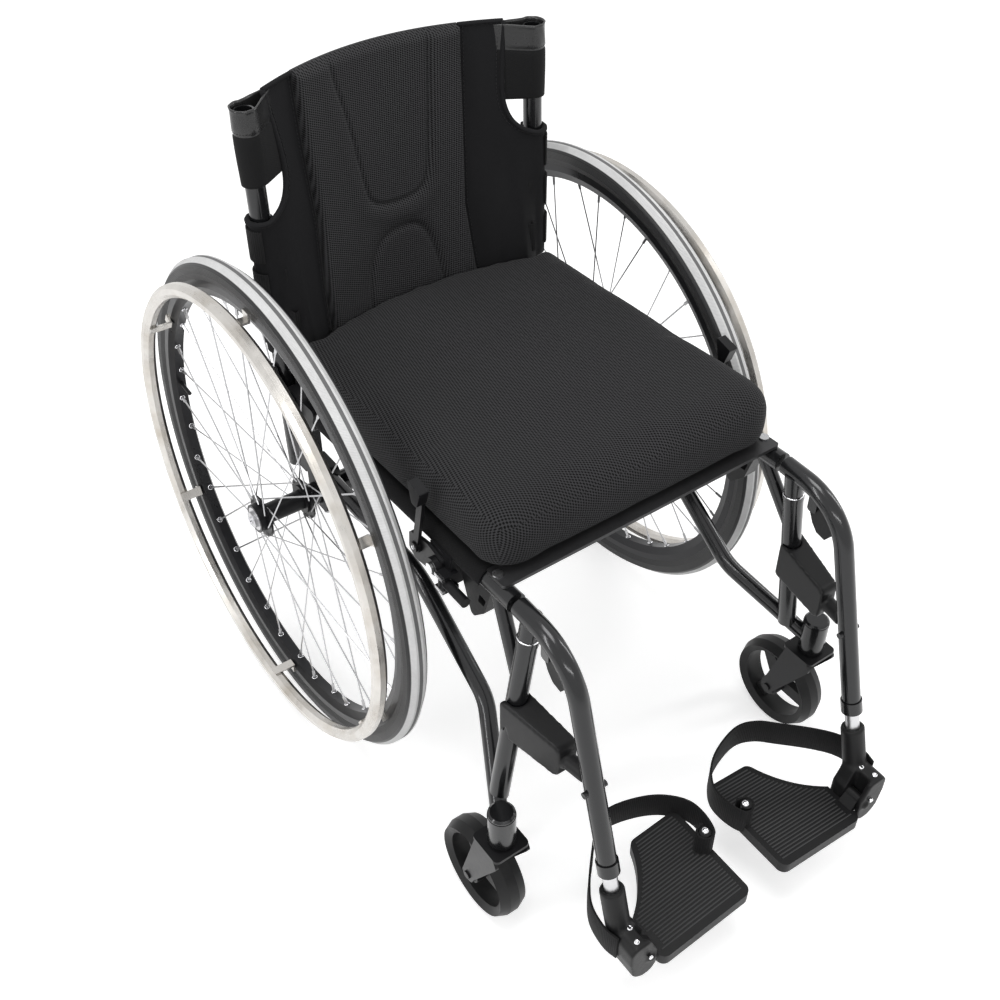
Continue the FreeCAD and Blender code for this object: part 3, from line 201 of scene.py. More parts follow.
def makeBackdrop():
    world = bpy.data.worlds.new("studio")
    bpy.context.scene.world = world
    world.use_nodes = True
    w = Wiring(world.node_tree)
    ground = world.node_tree.nodes["Background"].inputs
    ground["Color"].default_value = (1, 1, 1, 1)
    w.feed(ground["Strength"], w.span(seenDirectly(w), 0, 1, backdrop["worldLight"], backdrop["seen"]))

    half = backdrop["half"]
    mesh = bpy.data.meshes.new("floor")
    corners = [(-half, -half, 0), (half, -half, 0), (half, half, 0), (-half, half, 0)]
    mesh.from_pydata(corners, [], [(0, 1, 2, 3)])
    floor = placed("floor", mesh)
    material = bpy.data.materials.new("paleFloor")
    material.use_nodes = True
    tree = material.node_tree
    tree.nodes.clear()
    matt = tree.nodes.new("ShaderNodeBsdfDiffuse")
    matt.inputs["Color"].default_value = [backdrop["floorColour"]] * 3 + [1]
    glow = tree.nodes.new("ShaderNodeEmission")
    w = Wiring(tree)
    w.feed(glow.inputs["Strength"], w.span(seenDirectly(w), 0, 1, 0, backdrop["floorGlow"]))
    both = tree.nodes.new("ShaderNodeAddShader")
    out = tree.nodes.new("ShaderNodeOutputMaterial")
    tree.links.new(matt.outputs[0], both.inputs[0])
    tree.links.new(glow.outputs[0], both.inputs[1])
    tree.links.new(both.outputs[0], out.inputs["Surface"])
    mesh.materials.append(material)


bpy.context.scene.view_settings.view_transform = "Standard"
makeCamera()
makeLamps()
makeBackdrop()
print("camera, lamps and floor made")


def newGroup(name, inputs, outputs):
    group = bpy.data.node_groups.new(name, "ShaderNodeTree")
    for label, kind, value in inputs:
        socket = group.interface.new_socket(label, in_out="INPUT", socket_type="NodeSocket" + kind)
        socket.default_value = value
    for label, kind in outputs:
        group.interface.new_socket(label, in_out="OUTPUT", socket_type="NodeSocket" + kind)
    return group, group.nodes.new("NodeGroupInput"), group.nodes.new("NodeGroupOutput")


def makeBlotches():
    # slow and fine variation of a finish, as one tint factor and one roughness offset
    inputs = [("Place", "Vector", (0, 0, 0)), ("Broad", "Float", 9.0), ("Fine", "Float", 160.0),
              ("Amount", "Float", 0.2)]
    group, given, out = newGroup("blotches", inputs, [("Tint", "Float"), ("Change", "Float")])
    w = Wiring(group)
    broad = w.noise(given.outputs["Place"], given.outputs["Broad"], 3.0)
    fine = w.noise(given.outputs["Place"], given.outputs["Fine"], 2.0)
    both = w.math("ADD", w.math("MULTIPLY", broad, 0.65), w.math("MULTIPLY", fine, 0.35))
    centred = w.math("SUBTRACT", both, 0.5)
    scaled = w.math("MULTIPLY", centred, given.outputs["Amount"])
    group.links.new(w.math("MULTIPLY_ADD", scaled, 2.0, 1.0), out.inputs["Tint"])
    group.links.new(scaled, out.inputs["Change"])


def makeWheelPlace():
    # where a point is on a wheel: distance from the axle's line, distance across, and turn
    inputs = [("Place", "Vector", (0, 0, 0)), ("Hub", "Vector", (0, 0, 0)), ("Axle", "Vector", (1, 0, 0))]
    outputs = [("Radius", "Float"), ("Across", "Float"), ("Turn", "Float")]
    group, given, out = newGroup("wheelPlace", inputs, outputs)
    w = Wiring(group)
    arm = w.vector("SUBTRACT", given.outputs["Place"], given.outputs["Hub"])
    across = w.vector("DOT_PRODUCT", arm, given.outputs["Axle"])
    flat = w.vector("SUBTRACT", arm, w.vector("SCALE", given.outputs["Axle"], factor=across))
    parts = w.split(flat)
    group.links.new(w.vector("LENGTH", flat), out.inputs["Radius"])
    group.links.new(across, out.inputs["Across"])
    group.links.new(w.math("ARCTAN2", parts[2], parts[1]), out.inputs["Turn"])


def makeClothPlane():
    # two flat coordinates of a surface, taken along the side that it faces most
    inputs = [("Place", "Vector", (0, 0, 0)), ("Facing", "Vector", (0, 0, 1))]
    group, given, out = newGroup("clothPlane", inputs, [("Plane", "Vector")])
    w = Wiring(group)
    x, y, z = w.split(given.outputs["Place"])
    facing = [w.math("ABSOLUTE", value) for value in w.split(given.outputs["Facing"])]
    sideways = w.math("GREATER_THAN", facing[0], w.math("MAXIMUM", facing[1], facing[2]))
    level = w.math("MULTIPLY", w.math("MAXIMUM", facing[0], facing[1]), 0.8)
    upward = w.math("GREATER_THAN", facing[2], level)
    other = w.math("SUBTRACT", 1.0, sideways)
    flat = w.math("MULTIPLY", upward, other)
    front = w.math("SUBTRACT", other, flat)
    first = w.math("ADD", w.math("MULTIPLY", x, other), w.math("MULTIPLY", y, sideways))
    second = w.math("ADD", w.math("MULTIPLY", y, flat), w.math("MULTIPLY", z, w.math("ADD", sideways, front)))
    group.links.new(w.join(first, second, 0.0), out.inputs["Plane"])


def makeKnit():
    # a lattice of small holes in slanting rows between raised threads
    inputs = [("Plane", "Vector", (0, 0, 0)), ("Pitch", "Float", 0.003), ("Slant", "Float", 0.6),
              ("Hole", "Float", 0.35)]
    group, given, out = newGroup("knit", inputs, [("Holes", "Float"), ("Height", "Float")])
    w = Wiring(group)
    x, y, _ = w.split(given.outputs["Plane"])
    skewed = w.math("MULTIPLY_ADD", y, given.outputs["Slant"], x)
    turns = w.math("DIVIDE", 2 * math.pi, given.outputs["Pitch"])
    along = w.math("SINE", w.math("MULTIPLY", skewed, turns))
    leaning = w.math("MULTIPLY_ADD", x, -0.35, y)
    upright = w.math("SINE", w.math("MULTIPLY", leaning, w.math("MULTIPLY", turns, 0.8)))
    both = w.math("MULTIPLY_ADD", w.math("MULTIPLY", along, upright), 0.5, 0.5)
    hole = given.outputs["Hole"]
    group.links.new(w.span(both, hole, w.math("SUBTRACT", hole, 0.22)), out.inputs["Holes"])
    group.links.new(both, out.inputs["Height"])


def makeWeave():
    # over and under threads on a cloth's own coordinates in metres
    inputs = [("Plane", "Vector", (0, 0, 0)), ("Pitch", "Float", 0.0012)]
    group, given, out = newGroup("weave", inputs, [("Height", "Float")])
    w = Wiring(group)
    x, y, _ = w.split(given.outputs["Plane"])
    turns = w.math("DIVIDE", math.pi, given.outputs["Pitch"])
    first = w.math("SINE", w.math("MULTIPLY", x, turns))
    second = w.math("SINE", w.math("MULTIPLY", y, turns))
    group.links.new(w.math("MULTIPLY_ADD", w.math("MULTIPLY", first, second), 0.5, 0.5), out.inputs["Height"])


for make in (makeBlotches, makeWheelPlace, makeClothPlane, makeKnit, makeWeave):
    make()


def newMaterial(name):
    material = bpy.data.materials.new(name)
    material.use_nodes = True
    tree = material.node_tree
    shader = tree.nodes["Principled BSDF"]
    place = tree.nodes.new("ShaderNodeTexCoord")
    return material, Wiring(tree), shader, place


def tinted(w, colour, tint):
    # a colour scaled by a varying factor
    return w.vector("SCALE", colour, factor=tint)


def setPlain(shader, **values):
    # values that are the same all over the surface, on the shader's own sockets
    for label, value in values.items():
        shader.inputs[plainSockets[label]].default_value = value


plainSockets = {"metal": "Metallic", "coat": "Coat Weight", "coatRough": "Coat Roughness",
                "sheen": "Sheen Weight", "sheenRough": "Sheen Roughness", "specular": "Specular IOR Level"}


def plainFinish(name, colour, metal, rough, amount=0.2, coat=0.0, fine=160.0, bumpScale=0.0, bumpStrength=0.1,
                distance=0.0002, specular=0.5):
    # paint, moulded plastic and bare metal: tint and gloss vary, with a fine surface texture
    material, w, shader, place = newMaterial(name)
    spread = w.group("blotches", Place=place.outputs["Object"], Fine=fine, Amount=amount)
    w.feed(shader.inputs["Base Color"], tinted(w, colour, spread["Tint"]))
    w.feed(shader.inputs["Roughness"], w.math("ADD", spread["Change"], rough))
    setPlain(shader, metal=metal, coat=coat, coatRough=0.12, specular=specular)
    if bumpScale:
        grain = w.noise(place.outputs["Object"], bumpScale, 3.0)
        w.feed(shader.inputs["Normal"], w.bump(grain, bumpStrength, distance))
    return material


def brushedRing(name, colour, rough, hub, axle):
    # metal turned or drawn round the wheel, with lengthwise scratches and dull patches
    material, w, shader, place = newMaterial(name)
    spot = w.group("wheelPlace", Place=place.outputs["Object"], Hub=hub, Axle=axle)
    drawn = w.join(w.math("MULTIPLY", spot["Radius"], 900.0), w.math("MULTIPLY", spot["Across"], 900.0),
                   w.math("MULTIPLY", spot["Turn"], 14.0))
    lines = w.noise(drawn, 1.0, 4.0)
    spread = w.group("blotches", Place=place.outputs["Object"], Broad=14.0, Fine=90.0, Amount=0.3)
    patina = w.span(w.noise(place.outputs["Object"], 22.0, 4.0), 0.45, 0.7)
    warm = tinted(w, [colour[0] * 0.62, colour[1] * 0.56, colour[2] * 0.48], spread["Tint"])
    clean = tinted(w, colour, spread["Tint"])
    w.feed(shader.inputs["Base Color"], w.mix(w.math("MULTIPLY", patina, 0.55), clean, warm))
    gloss = w.math("MULTIPLY_ADD", lines, 0.22, rough)
    w.feed(shader.inputs["Roughness"], w.math("ADD", gloss, spread["Change"]))
    setPlain(shader, metal=1.0)
    w.feed(shader.inputs["Normal"], w.bump(lines, 0.12, 0.0003))
    return material


tyreBands = {"treadHalf": 0.0098, "treadRadius": 0.2965, "lineHalf": 0.0020, "blur": 0.0006,
             "ringPitch": 0.0016}


def tyreFinish(name, hub, axle):
    # pale tread with a dark line round its middle and painted shade in its slanting grooves, and dark side
    # walls with moulded rings
    material, w, shader, place = newMaterial(name)
    spot = w.group("wheelPlace", Place=place.outputs["Object"], Hub=hub, Axle=axle)
    across = w.math("ABSOLUTE", spot["Across"])
    half, thin, blur = tyreBands["treadHalf"], tyreBands["lineHalf"], tyreBands["blur"]
    inside = w.span(across, half, half - blur)
    outside = w.span(spot["Radius"], tyreBands["treadRadius"] - blur, tyreBands["treadRadius"])
    onTread = w.math("MULTIPLY", inside, outside)
    middle = w.span(across, thin + blur / 2, thin)
    slants = w.math("SINE", w.math("MULTIPLY_ADD", across, 1900.0, w.math("MULTIPLY", spot["Turn"], 1150.0)))
    spread = w.group("blotches", Place=place.outputs["Object"], Broad=16.0, Fine=220.0, Amount=0.25)
    pale = tinted(w, (0.70, 0.70, 0.70), spread["Tint"])
    dark = tinted(w, (0.026, 0.026, 0.027), spread["Tint"])
    line = tinted(w, (0.15, 0.15, 0.152), spread["Tint"])
    # painted shade: the troughs of the slanting tread pattern are mixed towards the darker line colour
    grooveShade = w.math("MULTIPLY", w.span(slants, -1.0, -0.4, 1.0, 0.0), 0.22)
    tread = w.mix(middle, w.mix(grooveShade, pale, line), line)
    w.feed(shader.inputs["Base Color"], w.mix(onTread, dark, tread))
    w.feed(shader.inputs["Roughness"], w.math("ADD", w.span(onTread, 0.0, 1.0, 0.42, 0.62), spread["Change"]))
    rings = w.math("SINE", w.math("MULTIPLY", spot["Radius"], 2 * math.pi / tyreBands["ringPitch"]))
    onWall = w.math("MULTIPLY", rings, w.math("SUBTRACT", 1.0, onTread))
    height = w.math("ADD", w.math("MULTIPLY", slants, onTread), onWall)
    setPlain(shader, specular=0.25)
    w.feed(shader.inputs["Normal"], w.bump(height, 0.5, 0.0003))
    return material


def knitFinish(name, colour, pitch, slant, hole, byPlane):
    # knitted spacer cloth with slanting rows of holes, which are painted near black as painted shade inside
    # them
    material, w, shader, place = newMaterial(name)
    plane = place.outputs["UV"]
    if byPlane:
        plane = w.group("clothPlane", Place=place.outputs["Object"], Facing=place.outputs["Normal"])["Plane"]
    knit = w.group("knit", Plane=plane, Pitch=pitch, Slant=slant, Hole=hole)
    spread = w.group("blotches", Place=place.outputs["Object"], Broad=7.0, Fine=240.0, Amount=0.3)
    # painted shade: the knit's holes get eight percent of the cloth's colour
    dark = [value * 0.08 for value in colour]
    w.feed(shader.inputs["Base Color"], w.mix(knit["Holes"], tinted(w, colour, spread["Tint"]), dark + [1]))
    w.feed(shader.inputs["Roughness"], w.math("ADD", spread["Change"], 0.82))
    setPlain(shader, sheen=0.04, sheenRough=0.4, specular=0.1)
    w.feed(shader.inputs["Normal"], w.bump(knit["Height"], 0.8, 0.0007))
    return material


def clothFinish(name, colour, pitch, rough, sheen, byPlane=False, strength=0.35, specular=0.12):
    # closely woven or laminated cloth
    material, w, shader, place = newMaterial(name)
    plane = place.outputs["UV"]
    if byPlane:
        plane = w.group("clothPlane", Place=place.outputs["Object"], Facing=place.outputs["Normal"])["Plane"]
    weave = w.group("weave", Plane=plane, Pitch=pitch)
    spread = w.group("blotches", Place=place.outputs["Object"], Broad=11.0, Fine=320.0, Amount=0.35)
    # painted shade: the weave's low threads are darkened and its raised threads lightened, following the
    # bump's height
    tint = w.math("MULTIPLY", spread["Tint"], w.span(weave["Height"], 0.0, 1.0, 0.85, 1.1))
    w.feed(shader.inputs["Base Color"], tinted(w, colour, tint))
    w.feed(shader.inputs["Roughness"], w.math("ADD", spread["Change"], rough))
    setPlain(shader, sheen=sheen, sheenRough=0.35, specular=specular)
    w.feed(shader.inputs["Normal"], w.bump(weave["Height"], strength, 0.0003))
    return material


def webbingFinish(name, colour, rib):
    # strap with close ribs across it and fine threads; its map is in metres
    material, w, shader, place = newMaterial(name)
    x, y, _ = w.split(place.outputs["UV"])
    ribs = w.math("SINE", w.math("MULTIPLY", x, 2 * math.pi / rib))
    threads = w.math("SINE", w.math("MULTIPLY", y, 2 * math.pi / 0.0016))
    height = w.math("MULTIPLY_ADD", threads, 0.3, ribs)
    spread = w.group("blotches", Place=place.outputs["Object"], Broad=12.0, Fine=260.0, Amount=0.3)
    # painted shade: the hollows between ribs and threads are darkened and their crowns lightened, following
    # the bump's height
    tint = w.math("MULTIPLY", spread["Tint"], w.span(height, -1.2, 1.2, 0.7, 1.2))
    w.feed(shader.inputs["Base Color"], tinted(w, colour, tint))
    w.feed(shader.inputs["Roughness"], w.math("ADD", spread["Change"], 0.72))
    setPlain(shader, sheen=0.04, specular=0.15)
    w.feed(shader.inputs["Normal"], w.bump(height, 0.45, 0.0003))
    return material


camber = math.radians(1.46)
hubSpots = {side: (sign * 0.2366, axleY / 1000, 0.304516) for side, sign in sides.items()}
axles = {side: (math.cos(camber), 0, sign * math.sin(camber)) for side, sign in sides.items()}

# colour, metal, roughness and how much they vary, then what differs from a plain surface
plainLooks = {
    "framePaint": ((0.013, 0.0133, 0.0145), 0.4, 0.2, 0.2,
                   {"coat": 0.35, "bumpScale": 1400.0, "bumpStrength": 0.03, "specular": 0.45}),
    "blackPaint": ((0.009, 0.009, 0.010), 0.1, 0.34, 0.3, {"bumpScale": 900.0, "specular": 0.22}),
    "barPaint": ((0.055, 0.055, 0.057), 0.6, 0.36, 0.3, {"bumpScale": 1100.0, "specular": 0.3}),
    "blackPlastic": ((0.011, 0.011, 0.0115), 0.0, 0.4, 0.35,
                     {"bumpScale": 2200.0, "bumpStrength": 0.25, "specular": 0.2}),
    "greyPlastic": ((0.0095, 0.0095, 0.010), 0.0, 0.44, 0.35,
                    {"bumpScale": 2600.0, "bumpStrength": 0.3, "specular": 0.2}),
    # the footplate ribs' rubber is painted about five times lighter than the plate, as a painted highlight on
    # the lit ridges
    "ribRubber": ((0.048, 0.048, 0.049), 0.0, 0.5, 0.35,
                  {"bumpScale": 1800.0, "bumpStrength": 0.2, "specular": 0.2}),
    "casterRubber": ((0.013, 0.013, 0.0135), 0.0, 0.45, 0.4,
                     {"bumpScale": 700.0, "bumpStrength": 0.15, "specular": 0.22}),
    "alloy": ((0.62, 0.62, 0.63), 1.0, 0.34, 0.25, {"bumpScale": 1200.0, "bumpStrength": 0.08}),
    "steel": ((0.50, 0.50, 0.51), 1.0, 0.3, 0.3, {"fine": 600.0}),
    "chrome": ((0.80, 0.80, 0.82), 1.0, 0.12, 0.15, {}),
    "thread": ((0.020, 0.020, 0.021), 0.0, 0.6, 0.2, {"specular": 0.2}),
}
# colour, thread pitch, roughness and sheen, then the rest
clothLooks = {
    "backCloth": ((0.0125, 0.0125, 0.0135), 0.0011, 0.8, 0.04, {}),
    "slingCloth": ((0.009, 0.009, 0.0095), 0.0016, 0.82, 0.03, {"byPlane": True}),
    "sleeveCloth": ((0.0125, 0.0125, 0.013), 0.0013, 0.8, 0.05, {}),
    "sleeveTop": ((0.016, 0.016, 0.0165), 0.0024, 0.3, 0.02, {"strength": 0.1, "specular": 0.5}),
}
finishes = {name: plainFinish(name, *values, **rest) for name, (*values, rest) in plainLooks.items()}
for name, (*values, rest) in clothLooks.items():
    finishes[name] = clothFinish(name, *values, **rest)
finishes["padCloth"] = knitFinish("padCloth", (0.046, 0.046, 0.048), 0.0036, 0.62, 0.54, False)
finishes["seatCloth"] = knitFinish("seatCloth", (0.040, 0.040, 0.042), 0.0040, 0.55, 0.54, True)
finishes["webbing"] = webbingFinish("webbing", (0.0095, 0.0095, 0.010), 0.0024)
for side in sides:
    hub, axle = hubSpots[side], axles[side]
    finishes["tyre_" + side] = tyreFinish("tyreRubber_" + side, hub, axle)
    finishes["handrim_" + side] = brushedRing("handrimSteel_" + side, (0.60, 0.58, 0.55), 0.2, hub, axle)
    black = (0.022, 0.022, 0.024)
    finishes["rim_" + side] = plainFinish("rimBlack_" + side, black, 0.4, 0.32, 0.3, specular=0.25)


def brightEndFinish(name, colour, rough, axis, start, bright):
    # paint that ends in bare metal beyond a distance along one axis
    material, w, shader, place = newMaterial(name)
    reach = w.math("ABSOLUTE", w.split(place.outputs["Object"])[axis])
    bare = w.span(reach, start, start + 0.0002)
    spread = w.group("blotches", Place=place.outputs["Object"], Amount=0.3)
    paint, metal = tinted(w, colour, spread["Tint"]), tinted(w, bright, spread["Tint"])
    w.feed(shader.inputs["Base Color"], w.mix(bare, paint, metal))
    w.feed(shader.inputs["Metallic"], bare)
    w.feed(shader.inputs["Roughness"], w.math("ADD", spread["Change"], w.span(bare, 0.0, 1.0, rough, 0.16)))
    setPlain(shader, specular=0.22)
    return material


black, bright = (0.009, 0.009, 0.010), (0.75, 0.75, 0.76)
finishes["brakePaint"] = brightEndFinish("brakePaint", black, 0.34, 0, 0.2023, bright)
print("materials made")

finishNodes = {
    "framePaint": ("seat_rail", "lower_tube", "front_post", "caster_housing", "axle_tube", "back_cane",
                   "back_cross_tube", "hanger_tube"),
    "blackPaint": ("axle_clamps", "back_brackets", "hub", "caster_fork", "brake_lever", "brake_shoe"),
    "barPaint": ("front_cross_bar",), "brakePaint": ("brake_mounts",), "chrome": ("axle_button",),
    "blackPlastic": ("strap_anchors", "latch_block", "release_lever"),
    "greyPlastic": ("footrest_bracket", "footplate"),
    "steel": ("frame_screws", "wheel_axles", "wheel_bearings", "spokes"), "casterRubber": ("caster_wheel",),
    "alloy": ("footrest_tube",), "rim": ("rim",), "handrim": ("handrim",), "tyre": ("tyre",),
}
nodeFinish = {stem: finish for finish, stems in finishNodes.items() for stem in stems}


def dressNodes():
    for name, node in nodes.items():
        stem, _, side = name.rpartition("_")
        finish = nodeFinish.get(name) or nodeFinish.get(stem)
        if finish is None:
            continue
        if finish in ("rim", "tyre", "handrim"):
            finish += "_" + side
        node.data.materials.clear()
        node.data.materials.append(finishes[finish])


dressNodes()
print("nodes dressed")


def smoothShaded(piece):
    for polygon in piece.data.polygons:
        polygon.use_smooth = True
    return piece


def meshOf(name, points, edges, faces):
    mesh = bpy.data.meshes.new(name)
    mesh.from_pydata([tuple(point) for point in points], edges, faces)
    return mesh


def newPiece(name, points, faces, finish, uvs=None):
    mesh = meshOf(name, points, [], faces)
    mesh.materials.append(finishes[finish])
    piece = placed(name, mesh)
    if uvs is not None:
        layer = mesh.uv_layers.new(name="cut")
        for loop in mesh.loops:
            layer.data[loop.index].uv = uvs[loop.vertex_index]
    return smoothShaded(piece)


def gridFaces(rows, columns, loopColumns=False):
    faces = []
    for i in range(rows - 1):
        for j in range(columns if loopColumns else columns - 1):
            k, m = i + 1, (j + 1) % columns
            faces.append((i * columns + j, i * columns + m, k * columns + m, k * columns + j))
    return faces


def cappedFaces(rows, columns):
    # a closed tube's faces, with one face over each end
    total = rows * columns
    ends = [tuple(range(columns)), tuple(reversed(range(total - columns, total)))]
    return gridFaces(rows, columns, loopColumns=True) + ends


def faceOutwards(piece):
    work = bmesh.new()
    work.from_mesh(piece.data)
    bmesh.ops.remove_doubles(work, verts=work.verts, dist=1e-6)
    bmesh.ops.recalc_face_normals(work, faces=work.faces)
    work.to_mesh(piece.data)
    work.free()


def settle(piece):
    # turns the piece's live modifiers into its plain mesh
    graph = bpy.context.evaluated_depsgraph_get()
    graph.update()
    mesh = bpy.data.meshes.new_from_object(piece.evaluated_get(graph))
    old = piece.data
    piece.modifiers.clear()
    piece.data = mesh
    mesh.name = piece.name
    bpy.data.meshes.remove(old)
    return piece


def thicken(piece, thickness, offset):
    wall = piece.modifiers.new("thickness", "SOLIDIFY")
    wall.thickness = thickness / 1000
    wall.offset = offset
    wall.use_even_offset = True
    return settle(piece)


def softPath(points, count):
    # a smooth line of count points through the given ones
    points = np.array([tuple(point) for point in points], float)
    ends = np.vstack([2 * points[0] - points[1], points, 2 * points[-1] - points[-2]])
    line = []
    for i in range(1, len(ends) - 2):
        a, b, c, d = ends[i - 1:i + 3]
        square, cube = 2 * a - 5 * b + 4 * c - d, 3 * b - a - 3 * c + d
        for t in np.linspace(0, 1, 16, endpoint=False):
            line.append(0.5 * (2 * b + (c - a) * t + square * t ** 2 + cube * t ** 3))
    line.append(points[-1])
    line = np.array(line)
    run = np.concatenate([[0], np.cumsum(np.linalg.norm(np.diff(line, axis=0), axis=1))])
    wanted = np.linspace(0, run[-1], count)
    return np.stack([np.interp(wanted, run, line[:, axis]) for axis in range(3)], 1)


def tubeAlong(name, path, radius, finish, steps=10):
    # a closed round tube whose ends are capped
    path = [Vector(point) for point in path]
    points = []
    for i, spot in enumerate(path):
        run = (path[min(i + 1, len(path) - 1)] - path[max(i - 1, 0)]).normalized()
        across = run.cross(Vector((0, 0, 1))).normalized()
        over = across.cross(run).normalized()
        for j in range(steps):
            a = 2 * math.pi * j / steps
            points.append(spot + across * (radius * math.cos(a)) + over * (radius * math.sin(a)))
    faces = cappedFaces(len(path), steps)
    piece = newPiece(name, points, faces, finish)
    faceOutwards(piece)
    return piece


def joinPieces(name, pieces):
    work = bmesh.new()
    slots = []
    for piece in pieces:
        base = len(work.faces)
        work.from_mesh(piece.data)
        work.faces.ensure_lookup_table()
        own = []
        for material in piece.data.materials:
            if material not in slots:
                slots.append(material)
            own.append(slots.index(material))
        for face in work.faces[base:]:
            face.material_index = own[face.material_index]
    mesh = bpy.data.meshes.new(name)
    work.to_mesh(mesh)
    work.free()
    for material in slots:
        mesh.materials.append(material)
    for piece in pieces:
        old = piece.data
        bpy.data.objects.remove(piece)
        bpy.data.meshes.remove(old)
    return placed(name, mesh)


def newTree(name, inputs):
    tree = bpy.data.node_groups.new(name, "GeometryNodeTree")
    tree.interface.new_socket("Geometry", in_out="INPUT", socket_type="NodeSocketGeometry")
    for label, value in inputs:
        tree.interface.new_socket(label, in_out="INPUT", socket_type="NodeSocketFloat").default_value = value
    tree.interface.new_socket("Material", in_out="INPUT", socket_type="NodeSocketMaterial")
    tree.interface.new_socket("Geometry", in_out="OUTPUT", socket_type="NodeSocketGeometry")
    return tree, tree.nodes.new("NodeGroupInput").outputs, tree.nodes.new, tree.links.new


def finishTree(tree, given, shape):
    # makes copies real, gives them the tree's material and sends them out
    real = tree.nodes.new("GeometryNodeRealizeInstances")
    paint = tree.nodes.new("GeometryNodeSetMaterial")
    out = tree.nodes.new("NodeGroupOutput")
    for start, end in ((shape, real.inputs[0]), (real.outputs[0], paint.inputs["Geometry"]),
                       (given["Material"], paint.inputs["Material"]), (paint.outputs[0], out.inputs[0])):
        tree.links.new(start, end)
    return tree


def makeStitchTree():
    # threads laid end to end along every edge line
    sizes = (("Spacing", 0.0045), ("Length", 0.0032), ("Thread", 0.00045))
    tree, given, add, link = newTree("stitchRow", sizes)
    line = add("GeometryNodeMeshToCurve")
    even = add("GeometryNodeResampleCurve")
    even.mode = "LENGTH"
    spots = add("GeometryNodeCurveToPoints")
    spots.mode = "EVALUATED"
    thread = add("GeometryNodeMeshIcoSphere")
    thread.inputs["Radius"].default_value = 0.5
    thread.inputs["Subdivisions"].default_value = 2
    size = add("ShaderNodeCombineXYZ")
    place = add("GeometryNodeInstanceOnPoints")
    link(given["Geometry"], line.inputs[0])
    link(line.outputs[0], even.inputs["Curve"])
    link(given["Spacing"], even.inputs["Length"])
    link(even.outputs[0], spots.inputs["Curve"])
    link(spots.outputs["Points"], place.inputs["Points"])
    link(spots.outputs["Rotation"], place.inputs["Rotation"])
    link(thread.outputs["Mesh"], place.inputs["Instance"])
    for label, socket in zip(("Thread", "Thread", "Length"), size.inputs):
        link(given[label], socket)
    link(size.outputs[0], place.inputs["Scale"])
    return finishTree(tree, given, place.outputs[0])


def makeRingTree():
    # a wire ring on every point, squared to the point's aim
    tree, given, add, link = newTree("eyeletRings", (("Ring", 0.003), ("Wire", 0.0006)))
    ring = add("GeometryNodeCurvePrimitiveCircle")
    ring.inputs["Resolution"].default_value = 14
    wire = add("GeometryNodeCurvePrimitiveCircle")
    wire.inputs["Resolution"].default_value = 6
    sweep = add("GeometryNodeCurveToMesh")
    aim = add("GeometryNodeInputNamedAttribute")
    aim.data_type = "FLOAT_VECTOR"
    aim.inputs["Name"].default_value = "aim"
    turn = add("FunctionNodeAlignRotationToVector")
    turn.axis = "Z"
    place = add("GeometryNodeInstanceOnPoints")
    link(given["Ring"], ring.inputs["Radius"])
    link(given["Wire"], wire.inputs["Radius"])
    link(ring.outputs["Curve"], sweep.inputs["Curve"])
    link(wire.outputs["Curve"], sweep.inputs["Profile Curve"])
    link(aim.outputs["Attribute"], turn.inputs["Vector"])
    link(given["Geometry"], place.inputs["Points"])
    link(sweep.outputs[0], place.inputs["Instance"])
    link(turn.outputs[0], place.inputs["Rotation"])
    return finishTree(tree, given, place.outputs[0])


def makeBarTree():
    # a round bar with closed ends along every edge line
    tree, given, add, link = newTree("ribBars", (("Radius", 0.0009),))
    line = add("GeometryNodeMeshToCurve")
    ring = add("GeometryNodeCurvePrimitiveCircle")
    ring.inputs["Resolution"].default_value = 8
    sweep = add("GeometryNodeCurveToMesh")
    sweep.inputs["Fill Caps"].default_value = True
    link(given["Geometry"], line.inputs[0])
    link(given["Radius"], ring.inputs["Radius"])
    link(line.outputs[0], sweep.inputs["Curve"])
    link(ring.outputs["Curve"], sweep.inputs["Profile Curve"])
    return finishTree(tree, given, sweep.outputs[0])


stitchTree, ringTree, barTree = makeStitchTree(), makeRingTree(), makeBarTree()


def runTree(piece, tree, values):
    # puts a tree on a piece, sets its named inputs, and makes the result plain
    step = piece.modifiers.new("tree", "NODES")
    step.node_group = tree
    for item in tree.interface.items_tree:
        if item.item_type == "SOCKET" and item.in_out == "INPUT" and item.name in values:
            step[item.identifier] = values[item.name]
    return settle(piece)


def stitchRows(name, rows, body, spacing=4.5, length=3.2, thread=0.9):
    points, edges = [], []
    for row in rows:
        start = len(points)
        points += [tuple(point) for point in row]
        edges += [(i, i + 1) for i in range(start, len(points) - 1)]
    piece = placed(name, meshOf(name, points, edges, []))
    sizes = {"Spacing": spacing / 1000, "Length": length / 1000, "Thread": thread / 1000}
    runTree(piece, stitchTree, {**sizes, "Material": finishes["thread"]})
    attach(piece, body)
    return piece


back = {"lowZ": 475, "highZ": 765, "armholeZ": 637, "sleeveLow": 679, "sleeveHigh": 762, "caneX": 179,
        "caneRadius": 11, "cloth": 3.0, "padDeep": 12.0, "seamHalf": 82.0, "bowEdge": 150.0, "footY": 60,
        "footZ": 309, "lean": 1.72, "bowSide": 28.0, "sideLean": 51.9, "bowDeep": 43.0, "deepen": 3.6,
        "bowHalf": 165.0, "wrap": 3.6}
flapCut = {"thick": 2.4, "binding": 0.0031, "topBinding": 0.0026, "columns": 46, "stitchIn": 6.5,
           "seamIn": 5.0}


def caneY(z):
    return back["footY"] + (z - back["footZ"]) * math.tan(math.radians(back["lean"]))


